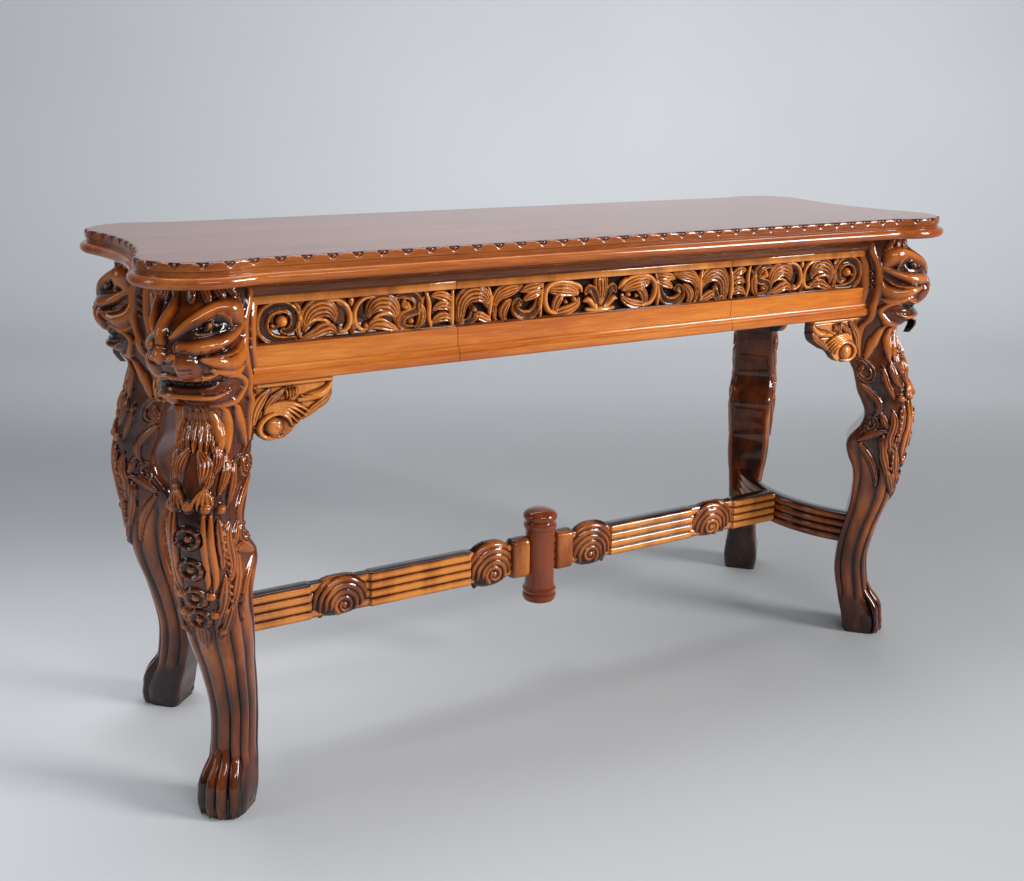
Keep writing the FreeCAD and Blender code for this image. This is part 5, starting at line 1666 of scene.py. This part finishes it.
@dataclass
class Joinery:
    """The plain pieces that keep their construction shapes and only get their finish."""

    polished_x: tuple[str, ...] = ("frieze_rail_left", "frieze_rail_right", "front_top_rail", "rear_apron",
                                   "drawer_rail")
    polished_y: tuple[str, ...] = ("end_rail_left", "end_rail_right")
    shaded_x: tuple[str, ...] = ("cove_front", "cove_rear")
    shaded_y: tuple[str, ...] = ("cove_left", "cove_right")
    shade_backing: tuple[str, ...] = ("drawer_inner_front",)
    inner_y: tuple[str, ...] = ("drawer_side_left", "drawer_side_right", "drawer_partition_left",
                                "drawer_partition_right", "drawer_runner_left", "drawer_runner_right",
                                "drawer_kicker_left", "drawer_kicker_right")

    def build(self) -> None:
        """Give every remaining solid its finish."""
        along_x = Mahogany("polished_x", Grain.X).build()
        along_y = Mahogany("polished_y", Grain.Y).build()
        # Painted shade: the drawer's inner front, seen through the fret's piercings, is near black to stand
        # for the shade inside the frieze.
        black = Mahogany("painted_shade_inner", Grain.X, (0.004, 0.002, 0.002), (0.008, 0.004, 0.003),
                         (0.016, 0.007, 0.004), 0.5, 0.0).build()
        shade = {"dark": (0.020, 0.005, 0.002), "mid": (0.125, 0.028, 0.007), "light": (0.330, 0.100, 0.018)}
        shaded_x = Mahogany("shaded_x", Grain.X, **shade).build()
        shaded_y = Mahogany("shaded_y", Grain.Y, **shade).build()
        inner_x = PlainWood("inner_x", Grain.X).build()
        inner_y = PlainWood("inner_y", Grain.Y).build()
        finishes = ((self.polished_x, along_x), (self.polished_y, along_y), (self.shade_backing, black),
                    (self.inner_y, inner_y), (self.shaded_x, shaded_x), (self.shaded_y, shaded_y))
        for name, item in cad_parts.items():
            found = next((finish for names, finish in finishes if name in names), inner_x)
            item.data.materials.clear()
            item.data.materials.append(found)
            log.info("%s: %s", name, found.name)


# ---------------------------------------------------------------- the studio

@dataclass
class Studio:
    """A pale seamless floor and backdrop, soft light from the right, and the camera."""

    eye: tuple[float, float, float] = (-0.9887, -1.6552, 1.0021)
    yaw: float = 0.5117
    pitch: float = 0.2929
    roll: float = 0.0097
    lens: float = 40.64
    floor_front: float = -6.0
    floor_back: float = 2.6
    curve: float = 1.6
    wall: float = 6.0
    wide: float = 16.0

    def right(self) -> Vector:
        """The level way to the right, as the camera sees it."""
        return Vector((math.cos(self.yaw), -math.sin(self.yaw), 0))

    def sweep(self) -> None:
        """The floor that curves up into the backdrop."""
        work = Carving()
        ahead = Vector((math.sin(self.yaw), math.cos(self.yaw), 0))
        side = self.right()
        profile = [(self.floor_front, 0.0), (self.floor_back, 0.0)]
        profile += [(self.floor_back + self.curve * math.sin(turn), self.curve - self.curve * math.cos(turn))
                    for turn in (math.radians(angle) for angle in range(6, 91, 6))]
        profile += [(self.floor_back + self.curve, self.wall)]

        def sheet(along: float, across: float) -> tuple[Vector, float]:
            reach, level = profile[round(along * (len(profile) - 1))]
            return ahead * reach + side * ((across - 0.5) * self.wide) + Vector((0, 0, level)), 1.0

        work.skin(len(profile) - 1, 4, sheet, round_columns=False, capped=False)
        item = work.cast("sweep", StudioPaint("studio_paint", self.yaw).build())

    def lamp(self, name: str, place: Sequence[float], aim: Sequence[float], size: tuple[float, float],
             power: float, colour: Sequence[float] = (1, 1, 1)) -> None:
        """A soft box.

        Args:
            name: Its name.
            place: Where it stands.
            aim: What it points at.
            size: Its width and height.
            power: Its power in watts.
            colour: Its colour.
        """
        data = bpy.data.lights.new(name, "AREA")
        data.shape = "RECTANGLE"
        data.size, data.size_y = size
        data.energy = power
        data.color = tuple(colour)
        item = bpy.data.objects.new(name, data)
        way = Vector(aim) - Vector(place)
        item.matrix_world = Matrix.Translation(place) @ way.to_track_quat("-Z", "Y").to_matrix().to_4x4()
        bpy.context.scene.collection.objects.link(item)

    def camera(self) -> None:
        """Set up the camera at its eye point, turned by its yaw, pitch and roll."""
        flat = math.cos(self.pitch)
        ahead = Vector((math.sin(self.yaw) * flat, math.cos(self.yaw) * flat, -math.sin(self.pitch)))
        right = self.right()
        up = right.cross(ahead)
        c, s = math.cos(self.roll), math.sin(self.roll)
        right, up = right * c + up * s, up * c - right * s
        data = bpy.data.cameras.new("camera")
        data.sensor_width = 36.0
        data.lens = self.lens
        item = bpy.data.objects.new("camera", data)
        turn = Matrix((right, up, -ahead)).transposed().to_4x4()
        item.matrix_world = Matrix.Translation(self.eye) @ turn
        bpy.context.scene.collection.objects.link(item)
        bpy.context.scene.camera = item

    def build(self) -> None:
        """Set up the studio."""
        self.sweep()
        self.lamp("key", (2.5, -2.7, 1.7), (0.0, 0.0, 0.5), (1.0, 1.3), 150, (1.0, 0.985, 0.95))
        self.lamp("strip", (-0.2, -3.2, 2.3), (0.1, 0.0, 0.6), (2.4, 0.35), 36)
        self.lamp("overhead", (0.2, 0.9, 3.3), (0.0, 0.0, 0.0), (3.4, 2.2), 85)
        self.lamp("left_fill", (-3.2, 0.4, 1.5), (0.0, 0.0, 0.5), (0.7, 1.6), 12)
        world = bpy.data.worlds.new("studio_air")
        world.use_nodes = True
        tree = world.node_tree
        air = tree.nodes["Background"]
        air.inputs["Color"].default_value = (0.86, 0.93, 1.0, 1.0)
        path, dim = tree.nodes.new("ShaderNodeLightPath"), tree.nodes.new("ShaderNodeMapRange")
        dim.inputs["To Min"].default_value = 0.26
        dim.inputs["To Max"].default_value = 0.08
        tree.links.new(path.outputs["Is Glossy Ray"], dim.inputs["Value"])
        tree.links.new(dim.outputs["Result"], air.inputs["Strength"])
        bpy.context.scene.world = world
        bpy.context.scene.view_settings.view_transform = "Standard"
        self.camera()


def main() -> None:
    """Build the whole table."""
    logging.basicConfig(level=logging.INFO, format="%(message)s")
    # The legs and bows get a darker copy of the carved finish, as painted shade where less light reaches
    # them, with more of it towards the floor; the frets, brackets and bars get a brighter copy, as painted
    # light on the lit front.
    dark = CarvedMahogany("carved_dark_and_shaded", painted_floor_shade=0.45).build()
    bright = CarvedMahogany("carved_bright_and_lit", shade=(0.045, 0.011, 0.004), mid=(0.270, 0.066, 0.012),
                            crest=(0.640, 0.230, 0.042)).build()
    turned = CarvedMahogany("turned_red", mid=(0.150, 0.028, 0.010), crest=(0.270, 0.062, 0.018)).build()
    wood = Mahogany("polished_edge", Grain.X, (0.085, 0.014, 0.003), (0.300, 0.064, 0.010),
                    (0.560, 0.180, 0.028)).build()
    # The board's lip gets painted shade in its sunk darts.
    board = Mahogany("polished_board", Grain.X, (0.060, 0.012, 0.004), (0.210, 0.050, 0.012),
                     (0.400, 0.120, 0.024), painted_recess_shade=True).build()
    Top().build(board, wood)
    Frieze().build(bright)
    Brackets().build(bright)
    Leg().build(dark)
    Stretchers().build(bright, dark, turned)
    Joinery().build()
    Studio().build()


if __name__ == "__main__":
    main()
